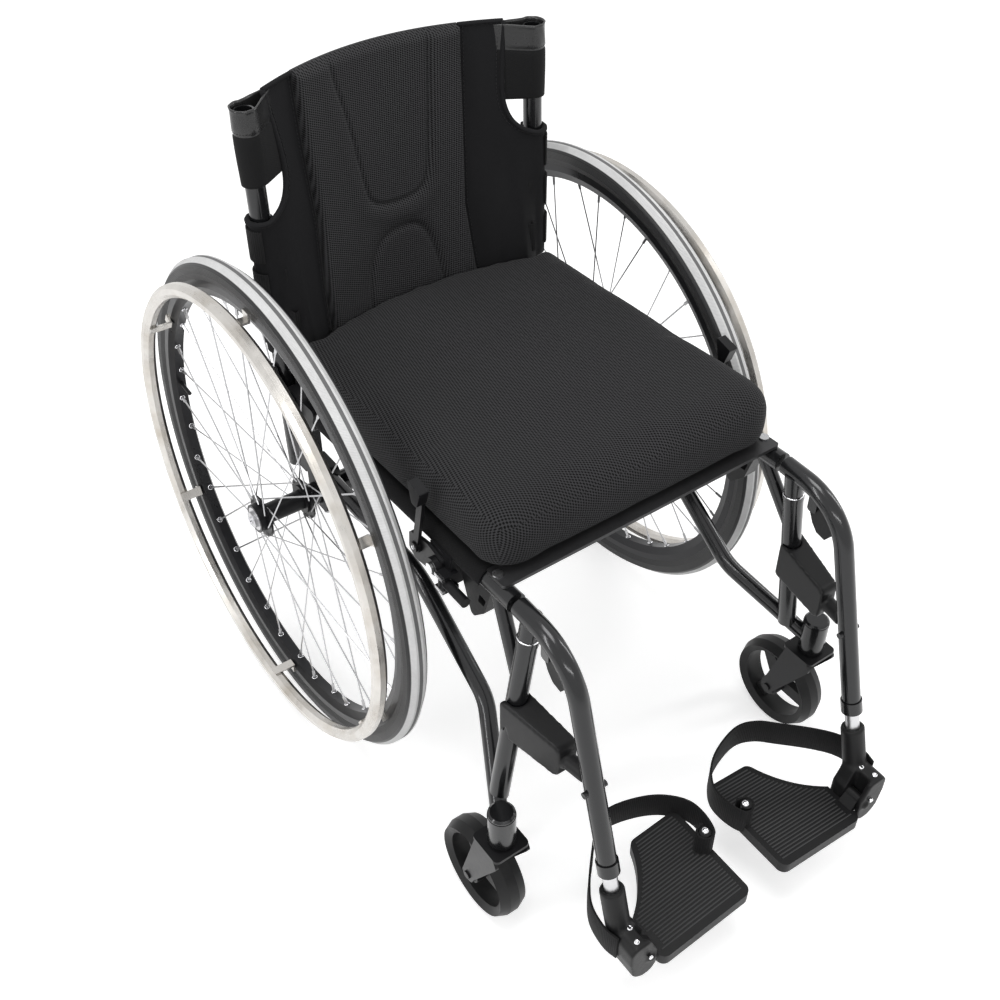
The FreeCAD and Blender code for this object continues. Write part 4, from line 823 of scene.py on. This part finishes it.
def bowY(x, z):
    # the front face of the back's cloth
    share = (z - back["lowZ"]) / (back["highZ"] - back["lowZ"])
    side = back["bowSide"] + back["sideLean"] * share
    deep = back["bowDeep"] + back["deepen"] * share
    return side + deep * (1 - (np.asarray(x) / back["bowHalf"]) ** 2)


seams = {1: ([475, 494, 569, 662, 765], [88, 86.4, 83.5, 92.6, 102.5]),
         -1: ([475, 530, 608, 686, 765], [119, 117, 109, 109.5, 106.8])}


def seamX(z, sign):
    # how far the mesh panel's seam lies from the middle at a height
    return float(np.interp(z, *seams[sign]))


def flapProfile(z):
    # plan of one side's cloth at a height: out from the seam, then round the cane
    wrap = back["caneRadius"] + back["wrap"]
    cy, cx = caneY(z), back["caneX"]
    xs = np.linspace(back["seamHalf"] - 4, back["bowEdge"], 22)
    line = [(x, float(bowY(x, z))) for x in xs]
    for a in np.linspace(math.radians(108), math.radians(-78), 26):
        line.append((cx + wrap * math.cos(a), cy - wrap * math.sin(a)))
    line += [(cx - 12, cy + wrap - 0.5)]
    line = np.array(line)
    run = np.concatenate([[0], np.cumsum(np.linalg.norm(np.diff(line, axis=0), axis=1))])
    return line, run


def seamRun(line, run, z, sign):
    return float(np.interp(seamX(z, sign), line[:22, 0], run[:22]))


def onFlap(sign, s, z):
    # a point on one side's cloth at a run s from the seam
    line, run = flapProfile(z)
    start = seamRun(line, run, z, sign)
    px = np.interp(start + s, run, line[:, 0])
    py = np.interp(start + s, run, line[:, 1])
    return np.array([sign * px, py, z])


def flapReach(z, sign):
    line, run = flapProfile(z)
    return run[-1] - seamRun(line, run, z, sign)


def runTo(x, z, sign):
    # the run from the seam to a point of the bow at x
    line, run = flapProfile(z)
    return float(np.interp(x, line[:34, 0], run[:34])) - seamRun(line, run, z, sign)


armhole = {"bottomX": 172.0, "bottomZ": 638,
           "rise": [(167, 640), (159, 644), (151, 651), (145.5, 660), (142, 672), (141, 686), (142, 702),
                    (144.5, 722), (147.5, 744), (149, 758), (149.5, 765)]}


def armholeEdge(sign):
    # the flap's outer edge as (run, height) pairs, from the bottom to the top
    full = flapReach(back["armholeZ"], sign)
    turn = runTo(armhole["bottomX"], back["armholeZ"], sign)
    edge = [(flapReach(z, sign), z) for z in np.linspace(back["lowZ"], back["armholeZ"], 16)]
    edge += [(s, back["armholeZ"]) for s in np.linspace(full, turn + 4, 10)[1:]]
    spots = [(turn, armhole["bottomZ"])] + [(runTo(x, z, sign), z) for x, z in armhole["rise"]]
    path = softPath([(s, z, 0) for s, z in spots], 30)
    return edge + [(p[0], p[1]) for p in path]


def wrinkle(s, z, sign):
    # slack of the side cloth: a long fold above the cushion and slight waves
    ridge = 34 + (z - 500) * 0.16
    fold = 2.2 * math.exp(-((s - ridge) / 7.0) ** 2) * ease(600, 560, z) * ease(470, 500, z)
    waves = 0.9 * math.sin(z / 23.0 + sign) * math.sin(s / 17.0 + 1.3) * float(ease(0, 14, s))
    hollow = -1.4 * math.exp(-((s - 62) / 9.0) ** 2) * float(ease(640, 600, z))
    return fold + waves + hollow


def onCloth(sign, s, z):
    # a point just in front of the wrinkled cloth, where a stitch lies
    return at(*(onFlap(sign, s, z) + np.array([0, -0.7 - wrinkle(s, z, sign), 0])))


def makeFlap(side, sign):
    edge = armholeEdge(sign)
    rows, columns = len(edge), flapCut["columns"]
    seamHeights = [back["lowZ"], 610, 640, back["highZ"]]
    innerZ = np.interp(np.linspace(0, 1, rows), [0, 0.29, 0.46, 1], seamHeights)
    points, uvs = [], []
    for i, (reach, topZ) in enumerate(edge):
        for j in range(columns):
            t = j / (columns - 1)
            s = reach * t
            z = innerZ[i] + (topZ - innerZ[i]) * t ** 1.2
            x, y, _ = onFlap(sign, s, z)
            y -= wrinkle(s, z, sign) * (1 if s < 95 else 0)
            y += 1.6 * math.exp(-(s / 2.2) ** 2)
            points.append(at(x, y, z))
            uvs.append((s / 1000, z / 1000))
    piece = newPiece("back_flap_" + side, points, gridFaces(rows, columns), "backCloth", uvs)
    faceOutwards(piece)
    if piece.data.polygons[len(piece.data.polygons) // 2].normal.y > 0:
        piece.data.flip_normals()
    thicken(piece, flapCut["thick"], -1.0)
    borders = [at(*onFlap(sign, reach, z)) + Vector((0, -0.0004, 0)) for reach, z in edge[16:]]
    bind = tubeAlong("back_binding_" + side, borders, flapCut["binding"], "backCloth")
    topEdge = [at(*onFlap(sign, s, back["highZ"])) for s in np.linspace(0, edge[-1][0], 16)]
    topBind = tubeAlong("back_top_binding_" + side, topEdge, flapCut["topBinding"], "backCloth")
    inner = [onCloth(sign, reach - flapCut["stitchIn"], z) for reach, z in edge[26:]]
    seam = [onCloth(sign, flapCut["seamIn"], z) for z in np.linspace(480, 762, 60)]
    return piece, [bind, topBind], [inner, seam]


def makeBackCloth():
    pieces, rows, binds = [], [], []
    for side, sign in sides.items():
        flap, edging, stitched = makeFlap(side, sign)
        pieces.append(flap)
        binds += edging
        rows += stitched
        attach(flap, "backrest")
    trim = joinPieces("back_bindings", binds)
    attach(trim, "backrest")
    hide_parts("back_upholstery")
    stitches = stitchRows("back_stitches", rows, "backrest")
    return pieces


makeBackCloth()
print("back cloth made")

pad = {"rows": 150, "columns": 120, "grooveDeep": 4.5, "grooveHalf": 3.2, "edgeRound": 9.0, "above": 1.5}
uLine = {"left": [(-60, 765), (-58, 741), (-50, 700), (-44.5, 650), (-41, 620), (-36, 604), (-22, 596.5)],
         "right": [(-22, 596.5), (0, 594), (22, 597), (36, 607), (43, 626), (50, 665), (60, 730), (64, 765)]}
humpLine = [(-60, 475), (-57, 503), (-48, 533), (-33, 554), (-12, 562.5), (15, 562), (29, 549), (38, 520),
            (43, 493), (45, 475)]


def distanceTo(path, x, z):
    # signed distance of grid points to a line in the back's own plane; positive outside or below it
    nearest = np.full(x.shape, 1e9)
    signed = np.zeros(x.shape)
    for (ax, az), (bx, bz) in zip(path[:-1], path[1:]):
        dx, dz = bx - ax, bz - az
        t = np.clip(((x - ax) * dx + (z - az) * dz) / (dx * dx + dz * dz), 0, 1)
        ox, oz = x - ax - t * dx, z - az - t * dz
        d = np.hypot(ox, oz)
        cross = dx * oz - dz * ox
        closer = d < nearest
        nearest = np.where(closer, d, nearest)
        signed = np.where(closer, np.where(cross < 0, d, -d), signed)
    return signed


def flatPath(spots, count):
    return [tuple(p[:2]) for p in softPath([(a, b, 0) for a, b in spots], count)]


def padRelief(x, z):
    # how far the pad's front stands from full thickness
    u = distanceTo(flatPath(uLine["left"] + uLine["right"][1:], 90), x, z)
    h = distanceTo(flatPath(humpLine, 60), x, z)
    groove = pad["grooveDeep"]
    relief = -groove * np.exp(-(u / pad["grooveHalf"]) ** 2) - 1.5 * ease(2, -9, u)
    relief += 1.8 * np.exp(-((u - 13) / 9.0) ** 2)
    fade = ease(12, -4, h)
    relief += -groove * 0.9 * np.exp(-(h / (pad["grooveHalf"] * 1.15)) ** 2) + 1.6 * ease(-3, -16, h) * fade
    return relief


def makePad():
    rows, columns = pad["rows"], pad["columns"]
    zs = np.linspace(back["lowZ"] + 1, back["highZ"] + pad["above"], rows)
    t = np.linspace(-1, 1, columns)
    X = np.array([[seamX(z, 1) * max(a, 0) + seamX(z, -1) * min(a, 0) for a in t] for z in zs])
    Z = np.repeat(zs[:, None], columns, 1)
    relief = padRelief(X, Z)
    reach = np.array([[seamX(z, 1 if a > 0 else -1) for a in t] for z in zs])
    edge = np.minimum(reach - np.abs(X), zs[-1] - Z)
    edge = np.minimum(edge, (Z - zs[0]) * 1.2)
    rounding = np.sqrt(np.clip(1 - (1 - np.clip(edge / pad["edgeRound"], 0, 1)) ** 2, 0, 1))
    thick = (back["padDeep"] + relief) * rounding
    soft = 0.5 * np.sin(X / 19.0) * np.sin(Z / 31.0)
    Y = bowY(X, Z) - thick + soft * rounding
    points = [at(*spot) for spot in zip(X.flat, Y.flat, Z.flat)]
    uvs = [(x / 1000, z / 1000) for x, z in zip(X.flat, Z.flat)]
    faces = gridFaces(rows, columns)
    front = newPiece("back_pad_front", points, faces, "padCloth", uvs)
    behind = [at(*spot) for spot in zip(X.flat, (bowY(X, Z) + back["cloth"]).flat, Z.flat)]
    rear = newPiece("back_pad_rear", behind, [tuple(reversed(face)) for face in faces], "backCloth", uvs)
    rim = list(range(columns)) + [i * columns + columns - 1 for i in range(1, rows)]
    rim += [(rows - 1) * columns + j for j in range(columns - 2, -1, -1)]
    rim += [i * columns for i in range(rows - 2, 0, -1)]
    whole = joinPieces("back_pad_cover", [front, rear])
    work = bmesh.new()
    work.from_mesh(whole.data)
    work.verts.ensure_lookup_table()
    total = rows * columns
    for a, b in zip(rim, rim[1:] + rim[:1]):
        work.faces.new([work.verts[a], work.verts[b], work.verts[b + total], work.verts[a + total]])
    bmesh.ops.recalc_face_normals(work, faces=work.faces)
    work.to_mesh(whole.data)
    work.free()
    smoothShaded(whole)
    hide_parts("back_pad")
    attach(whole, "backrest")
    return whole


makePad()
print("back pad made")

sleeve = {"wall": 2.0, "topBand": 27.0, "webX": 136.0, "webBehind": 4.2, "cloth": 1.6, "gap": 1.2,
          "wrapGap": 2.3}


def sleeveRing(z, sign, grow):
    # plan of the upper sleeve at a height: round the cane, then inwards behind the flap
    cx, cy = back["caneX"], caneY(z)
    radius = back["caneRadius"] + sleeve["gap"] + grow
    webX = sleeve["webX"]
    webY = float(bowY(webX, z)) + sleeve["webBehind"]
    ring = []
    for a in np.linspace(math.radians(118), math.radians(-100), 30):
        ring.append((cx + radius * math.cos(a), cy - radius * math.sin(a)))
    innerX, innerY = cx - radius * 0.35, cy + radius
    rear = webY + 1.2 + grow * 0.3
    for t in np.linspace(0.12, 1, 9):
        ring.append((innerX + (webX - innerX) * t, innerY + (rear - innerY) * t))
    outerX, outerY = ring[0]
    for t in np.linspace(0, 0.9, 9):
        ring.append((webX + (outerX - webX) * t, webY - 1.0 - grow * 0.3 + (outerY - webY + 1.0) * t))
    return [(sign * x, y) for x, y in ring]


def makeUpperSleeve(side, sign):
    heights = np.linspace(back["sleeveLow"], back["sleeveHigh"], 34)
    tall = back["sleeveHigh"] - back["sleeveLow"]
    points, uvs = [], []
    columns = len(sleeveRing(700, sign, 0))
    for z in heights:
        fromTop = back["sleeveHigh"] - z
        puff = 0.9 * math.sin(math.pi * (z - back["sleeveLow"]) / tall)
        band = -1.1 * math.exp(-((fromTop - sleeve["topBand"]) / 2.2) ** 2)
        puff += band + 0.8 * float(ease(3, 0, fromTop))
        ring = sleeveRing(z, sign, sleeve["wall"] + puff)
        for j, (x, y) in enumerate(ring):
            crease = 0.5 * math.sin(j * 1.1 + z / 6.0) * float(ease(34, 20, fromTop))
            sag = float(ease(back["sleeveLow"] + 8, back["sleeveLow"], z))
            low = 2.5 * math.sin(math.pi * j / columns) * sag
            points.append(at(x, y - crease * 0.6, z - low * 0.4))
            uvs.append((j * 0.003, z / 1000))
    faces = gridFaces(len(heights), columns, loopColumns=True)
    piece = newPiece("cane_sleeve_" + side, points, faces, "sleeveCloth", uvs)
    piece.data.materials.append(finishes["sleeveTop"])
    for polygon in piece.data.polygons:
        z = sum(piece.data.vertices[v].co.z for v in polygon.vertices) / 4 * 1000
        polygon.material_index = 1 if z > back["sleeveHigh"] - sleeve["topBand"] else 0
    outwards(piece)
    thicken(piece, sleeve["cloth"], -1.0)
    return piece


def outwards(piece):
    # turns an open shell's faces away from its middle line
    work = bmesh.new()
    work.from_mesh(piece.data)
    bmesh.ops.recalc_face_normals(work, faces=work.faces)
    work.to_mesh(piece.data)
    work.free()
    mesh = piece.data
    centre = sum((v.co for v in mesh.vertices), Vector()) / len(mesh.vertices)
    outward = sum((f.center - centre).dot(f.normal) * f.area for f in mesh.polygons)
    if outward < 0:
        mesh.flip_normals()


def makeLowerSleeve(side, sign):
    heights = np.linspace(back["lowZ"], back["armholeZ"] + 1, 30)
    points, uvs, columns = [], [], 32
    for z in heights:
        cx, cy = sign * back["caneX"], caneY(z)
        for j in range(columns):
            a = 2 * math.pi * j / columns
            r = back["caneRadius"] + sleeve["wrapGap"] + 0.35 * math.sin(3 * a + z / 18.0)
            points.append(at(cx + r * math.cos(a), cy + r * math.sin(a), z))
            uvs.append((j * 0.0026, z / 1000))
    faces = gridFaces(len(heights), columns, loopColumns=True)
    piece = newPiece("cane_wrap_" + side, points, faces, "backCloth", uvs)
    outwards(piece)
    thicken(piece, sleeve["cloth"], -1.0)
    return piece


def makeSleeves():
    pieces = []
    rows = []
    for side, sign in sides.items():
        pieces += [makeUpperSleeve(side, sign), makeLowerSleeve(side, sign)]
        z = back["sleeveHigh"] - sleeve["topBand"] + 2.5
        ring = sleeveRing(z, sign, sleeve["wall"] + 0.5)
        rows.append([at(x, y, z) for x, y in ring[:30]])
    whole = joinPieces("cane_sleeve_covers", pieces)
    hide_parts("cane_sleeves")
    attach(whole, "backrest")
    stitches = stitchRows("sleeve_stitches", rows, "backrest", spacing=3.4, length=2.4, thread=0.7)


makeSleeves()
print("cane sleeves made")


def bandAlong(name, path, height, thickness, finish):
    # a flat upright strap along a path; its map runs in metres along and across it
    path = [Vector(point) for point in path]
    half, tall, up = thickness / 2000, height / 1000, Vector((0, 0, 1))
    ring = [(-1, 0.0), (-1, 0.5), (-1, 1.0), (0, 1.0), (1, 1.0), (1, 0.5), (1, 0.0), (0, 0.0)]
    points, uvs, run = [], [], 0.0
    for i, spot in enumerate(path):
        ahead = (path[min(i + 1, len(path) - 1)] - path[max(i - 1, 0)]).normalized()
        side = ahead.cross(up).normalized()
        for across, share in ring:
            lift = up * (tall * share)
            points.append(spot + side * (half * across) + lift)
            uvs.append((run, share * tall))
        if i + 1 < len(path):
            run += (path[i + 1] - spot).length
    piece = newPiece(name, points, cappedFaces(len(path), len(ring)), finish, uvs)
    faceOutwards(piece)
    soft = piece.modifiers.new("edge", "BEVEL")
    soft.width = thickness / 4000
    soft.segments = 2
    soft.limit_method = "ANGLE"
    return settle(piece)


straps = {"lows": (488.0, 540.0, 592.0), "tall": 38, "thick": 2.0, "half": 165, "behind": 10, "wrap": 5.4}


def makeTensionStraps():
    bands = []
    for low in straps["lows"]:
        z = low + straps["tall"] / 2
        xs = np.linspace(-straps["half"], straps["half"], 60)
        path = [at(x, float(bowY(x, z)) + straps["behind"], low) for x in xs]
        r = back["caneRadius"] + straps["wrap"]
        turns = np.linspace(math.radians(-95), math.radians(60), 14)
        wrap = [(back["caneX"] + r * math.cos(a), caneY(z) - r * math.sin(a)) for a in turns]
        path = [at(-x, y, low) for x, y in reversed(wrap)] + path + [at(x, y, low) for x, y in wrap]
        bands.append(bandAlong("strap", path, straps["tall"], straps["thick"], "webbing"))
    whole = joinPieces("back_tension_straps", bands)
    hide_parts("tension_straps")
    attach(whole, "backrest")


makeTensionStraps()
print("tension straps made")


rail = {"frontY": -386.0, "frontZ": 438.0, "fall": 2.6}


def railZ(y):
    # height of a seat rail's middle line
    return rail["frontZ"] - (y - rail["frontY"]) * math.tan(math.radians(rail["fall"]))


cushion = {"voxel": 6.0, "rounds": 8, "pressure": 4.0, "frames": 20, "mostOut": 7.0, "folded": 0.3}


def softened(piece, finish, voxel, rounds):
    # an even mesh of the piece with its corners worn round
    piece.data.materials.clear()
    piece.data.materials.append(finishes[finish])
    cells = piece.modifiers.new("voxel", "REMESH")
    cells.mode = "VOXEL"
    cells.voxel_size = voxel / 1000
    soft = piece.modifiers.new("smooth", "SMOOTH")
    soft.iterations = rounds
    soft.factor = 0.5
    return settle(piece)


def makeCushion():
    mesh = nodes["seat_cushion"].data.copy()
    piece = placed("seat_cushion_cover", mesh)
    work = bmesh.new()
    work.from_mesh(mesh)
    bmesh.ops.remove_doubles(work, verts=work.verts, dist=1e-5)
    work.to_mesh(mesh)
    work.free()
    softened(piece, "seatCloth", cushion["voxel"], cushion["rounds"])
    inflate(piece, cushion["pressure"], cushion["frames"], cushion["mostOut"])
    finer = piece.modifiers.new("finer", "SUBSURF")
    finer.levels = finer.render_levels = 1
    smoothShaded(settle(piece))
    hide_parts("seat_cushion")
    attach(piece, "frame")
    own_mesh(piece)
    return piece


def inflate(piece, pressure, frames, mostOut):
    # a short cloth simulation that crowns a pad; no point moves further than mostOut
    start = np.array([v.co for v in piece.data.vertices])
    cloth = piece.modifiers.new("cloth", "CLOTH")
    cloth.settings.use_pressure = True
    cloth.settings.uniform_pressure_force = pressure
    cloth.settings.effector_weights.gravity = 0
    cloth.settings.quality = 5
    cloth.point_cache.frame_start = 1
    cloth.point_cache.frame_end = frames
    scene = bpy.context.scene
    for number in range(1, frames + 1):
        scene.frame_set(number)
    graph = bpy.context.evaluated_depsgraph_get()
    moved = piece.evaluated_get(graph).to_mesh()
    end = np.array([v.co for v in moved.vertices])
    piece.evaluated_get(graph).to_mesh_clear()
    piece.modifiers.clear()
    scene.frame_set(1)
    shift = end - start
    far = np.linalg.norm(shift, axis=1, keepdims=True)
    shift *= np.minimum(1, mostOut / 1000 / np.maximum(far, 1e-9))
    piece.data.vertices.foreach_set("co", (start + shift).ravel())
    piece.data.update()


makeCushion()
print("cushion made")


sling = {"half": 175.5, "radius": 12.6, "sag": 4.0, "rearGap": 0.5, "frontGap": 36, "cloth": 1.8}


def makeSling():
    half, radius = sling["half"], sling["radius"]
    turns = np.linspace(math.radians(-15), math.radians(90), 10)
    columns = [(-half - radius * math.cos(a), radius * math.sin(a)) for a in turns]
    xs = np.linspace(-half, half, 40)[1:-1]
    columns += [(x, radius - sling["sag"] * (1 - (x / half) ** 2)) for x in xs]
    columns += [(half + radius * math.cos(a), radius * math.sin(a)) for a in reversed(turns)]
    low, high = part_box("seat_sling")
    ys = np.linspace(low.y * 1000 - axleY + sling["rearGap"], high.y * 1000 - axleY - sling["frontGap"], 40)
    points = [at(x, y, railZ(y) + dz) for y in ys for x, dz in columns]
    steps = np.hypot(*np.diff(np.array(columns), axis=0).T)
    runs = np.concatenate([[0], np.cumsum(steps)])
    uvs = [(run / 1000, y / 1000) for y in ys for run in runs]
    piece = newPiece("seat_sling_cloth", points, gridFaces(len(ys), len(columns)), "slingCloth", uvs)
    outwards(piece)
    thicken(piece, sling["cloth"], 0.0)
    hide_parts("seat_sling")
    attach(piece, "frame")


makeSling()
print("sling made")


def turned(name, profile, spot, axis, finish, steps=18):
    # a closed turned part: radius and height pairs along an axis, both ends on the axis
    axis = Vector(axis).normalized()
    first = axis.orthogonal().normalized()
    second = axis.cross(first)
    ends = [spot + axis * (profile[0][1] / 1000), spot + axis * (profile[-1][1] / 1000)]
    points = []
    for radius, height in profile[1:-1]:
        for j in range(steps):
            a = 2 * math.pi * j / steps
            arm = first * math.cos(a) + second * math.sin(a)
            points.append(spot + arm * (radius / 1000) + axis * (height / 1000))
    rows = len(profile) - 2
    faces = gridFaces(rows, steps, loopColumns=True)
    top, bottom = len(points), len(points) + 1
    for j in range(steps):
        k = (j + 1) % steps
        faces.append((top, k, j))
        faces.append((bottom, (rows - 1) * steps + j, (rows - 1) * steps + k))
    piece = newPiece(name, points + ends, faces, finish)
    faceOutwards(piece)
    return piece


socketHead = [(0, 0.3), (1.5, 0.3), (1.5, 1.3), (2.6, 1.3), (3.1, 0.7), (3.1, -1.5), (0, -1.5)]
roundHead = [(0, 1.2), (1.4, 1.1), (2.4, 0.5), (2.7, -1.5), (0, -1.5)]
flatPin = [(0, 1.4), (2.0, 1.4), (2.6, 1.0), (2.6, -2.0), (0, -2.0)]
domedCap = [(0, 3.6), (2.2, 3.2), (3.8, 2.0), (4.5, 0.3), (4.5, -0.6), (0, -0.6)]
brightParts = {
    "bracket_screw_rear": (socketHead, (171.4, -581.1, 118.0), (0, 0, 1), "footrest"),
    "bracket_screw_front": (socketHead, (175.5, -597.5, 118.0), (0, 0, 1), "footrest"),
    "bracket_pin": (flatPin, (163.9, -609.0, 92.4), (0, -1, 0), "footrest"),
    "post_cap": (domedCap, (30.0, -540.0, 118.0), (0, 0, 1), "footplate"),
    "brake_pin": (roundHead, (202.2, -244.0, 414.0), (1, 0, 0), "frame"),
}


def makeBrightParts():
    for side, sign in sides.items():
        for name, (profile, spot, axis, body) in brightParts.items():
            where = at(sign * spot[0], spot[1], spot[2])
            piece = turned(name + "_" + side, profile, where, (sign * axis[0], axis[1], axis[2]), "chrome")
            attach(piece, body if body == "frame" else body + "_" + side)


makeBrightParts()
print("bright screws and caps made")


wheel = {"spokes": 36, "seatRadius": 261.6, "seatSide": 2.0, "ring": 0.0031, "wire": 0.0007}
ribs = {"pitch": 4.1, "radius": 1.0, "sink": 0.35, "border": 7, "frontY": -603.0, "rearY": -492.0,
        "inner": 24, "outer": 160, "above": 130, "topZ": 93.5, "fall": 0.105, "level": 0.9, "shortest": 22}


def aimedRings(name, points, aims, size, body):
    # one piece of bright wire rings, each squared to its own aim
    mesh = meshOf(name, points, [], [])
    flat = [value for aim in aims for value in aim]
    mesh.attributes.new("aim", "FLOAT_VECTOR", "POINT").data.foreach_set("vector", flat)
    piece = placed(name, mesh)
    runTree(piece, ringTree, {"Ring": size["ring"], "Wire": size["wire"], "Material": finishes["chrome"]})
    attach(piece, body)


def makeEyelets():
    for side, sign in sides.items():
        outboard = Vector((sign * math.cos(camber), 0, math.sin(camber)))
        upward = Vector((-sign * math.sin(camber), 0, math.cos(camber)))
        points, aims = [], []
        for index in range(wheel["spokes"]):
            a = 2 * math.pi * index / wheel["spokes"]
            arm = Vector((0, 1, 0)) * math.cos(a) + upward * math.sin(a)
            across = wheel["seatSide"] if index % 2 == 0 else -wheel["seatSide"]
            points.append(Vector(hubSpots[side]) + (arm * wheel["seatRadius"] + outboard * across) / 1000)
            aims.append(arm)
        aimedRings("spoke_eyelets_" + side, points, aims, wheel, "wheel_" + side)


hinge = {"foot": (211.8, 187.0), "head": (177.9, 403.0), "y": -407.5, "topZ": 409.6, "ring": 0.0110,
         "wire": 0.0009}


def makeHingeRings():
    footX, footZ = hinge["foot"]
    headX, headZ = hinge["head"]
    lean = (headX - footX) / (headZ - footZ)
    topZ = hinge["topZ"]
    for side, sign in sides.items():
        spot = at(sign * (headX + lean * (topZ - headZ)), hinge["y"], topZ)
        aim = Vector((sign * lean, 0, 1)).normalized()
        aimedRings("hinge_ring_" + side, [spot], [aim], hinge, "frame")


def plateSpan(y, inner, outer):
    # heights of the left footplate's top along a line across it, a millimetre apart
    plate = nodes["footplate_left"]
    found = []
    for x in np.arange(inner, outer, 1.0):
        hit, spot, normal, _ = plate.ray_cast(at(x, y, ribs["above"]), Vector((0, 0, -1)))
        top = ribs["topZ"] - (x - ribs["inner"]) * ribs["fall"]
        if hit and normal.z > ribs["level"] and spot.z * 1000 < top:
            found.append((x, spot.z * 1000))
    return found


def makeRibs():
    lines = []
    for y in np.arange(ribs["rearY"], ribs["frontY"], -ribs["pitch"]):
        found = plateSpan(y, ribs["inner"], ribs["outer"])
        if len(found) < ribs["shortest"]:
            continue
        start, end = found[ribs["border"]], found[-1 - ribs["border"]]
        lines.append([(start[0], y, start[1] - ribs["sink"]), (end[0], y, end[1] - ribs["sink"])])
    print("footplate ribs", len(lines))
    for side, sign in sides.items():
        points, edges = [], []
        for first, last in lines:
            edges.append((len(points), len(points) + 1))
            points += [tuple(at(sign * x, y, z)) for x, y, z in (first, last)]
        piece = placed("footplate_ribs_" + side, meshOf("ribs_" + side, points, edges, []))
        # the ribs take the lighter rubber that carries a painted highlight
        runTree(piece, barTree, {"Radius": ribs["radius"] / 1000, "Material": finishes["ribRubber"]})
        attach(piece, "footplate_" + side)


makeEyelets()
makeHingeRings()
makeRibs()
print("eyelets and ribs made")

softCovers = {"footrest_bracket": (1.5, 14, "greyPlastic", "footrest"),
              "latch_block": (1.4, 12, "blackPlastic", "leg_rest")}


def makeSoftCovers():
    # moulded parts whose corners run into each other
    for stem, (voxel, rounds, finish, body) in softCovers.items():
        for side in sides:
            name = stem + "_" + side
            mesh = nodes[name].data.copy()
            piece = placed(stem + "_cover_" + side, mesh)
            smoothShaded(softened(piece, finish, voxel, rounds))
            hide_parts(name)
            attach(piece, body + "_" + side)


makeSoftCovers()
print("moulded covers made")

heel = {"low": 80.0, "tall": 38.0, "thick": 2.5,
        "route": [(188.5, -584), (191.5, -566), (186.5, -538), (170, -513.5), (141, -483), (121, -464),
                  (97, -456), (65, -463), (38, -477), (19, -499), (15.5, -522), (21, -545), (31, -550),
                  (39, -543), (37, -534), (26, -530)]}


def makeHeelStraps():
    for side, sign in sides.items():
        path = softPath([at(sign * x, y, heel["low"]) for x, y in heel["route"]], 120)
        strap = bandAlong("heel_strap_band_" + side, path, heel["tall"], heel["thick"], "webbing")
        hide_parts("heel_strap_" + side)
        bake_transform(strap)


makeHeelStraps()
print("heel straps made")
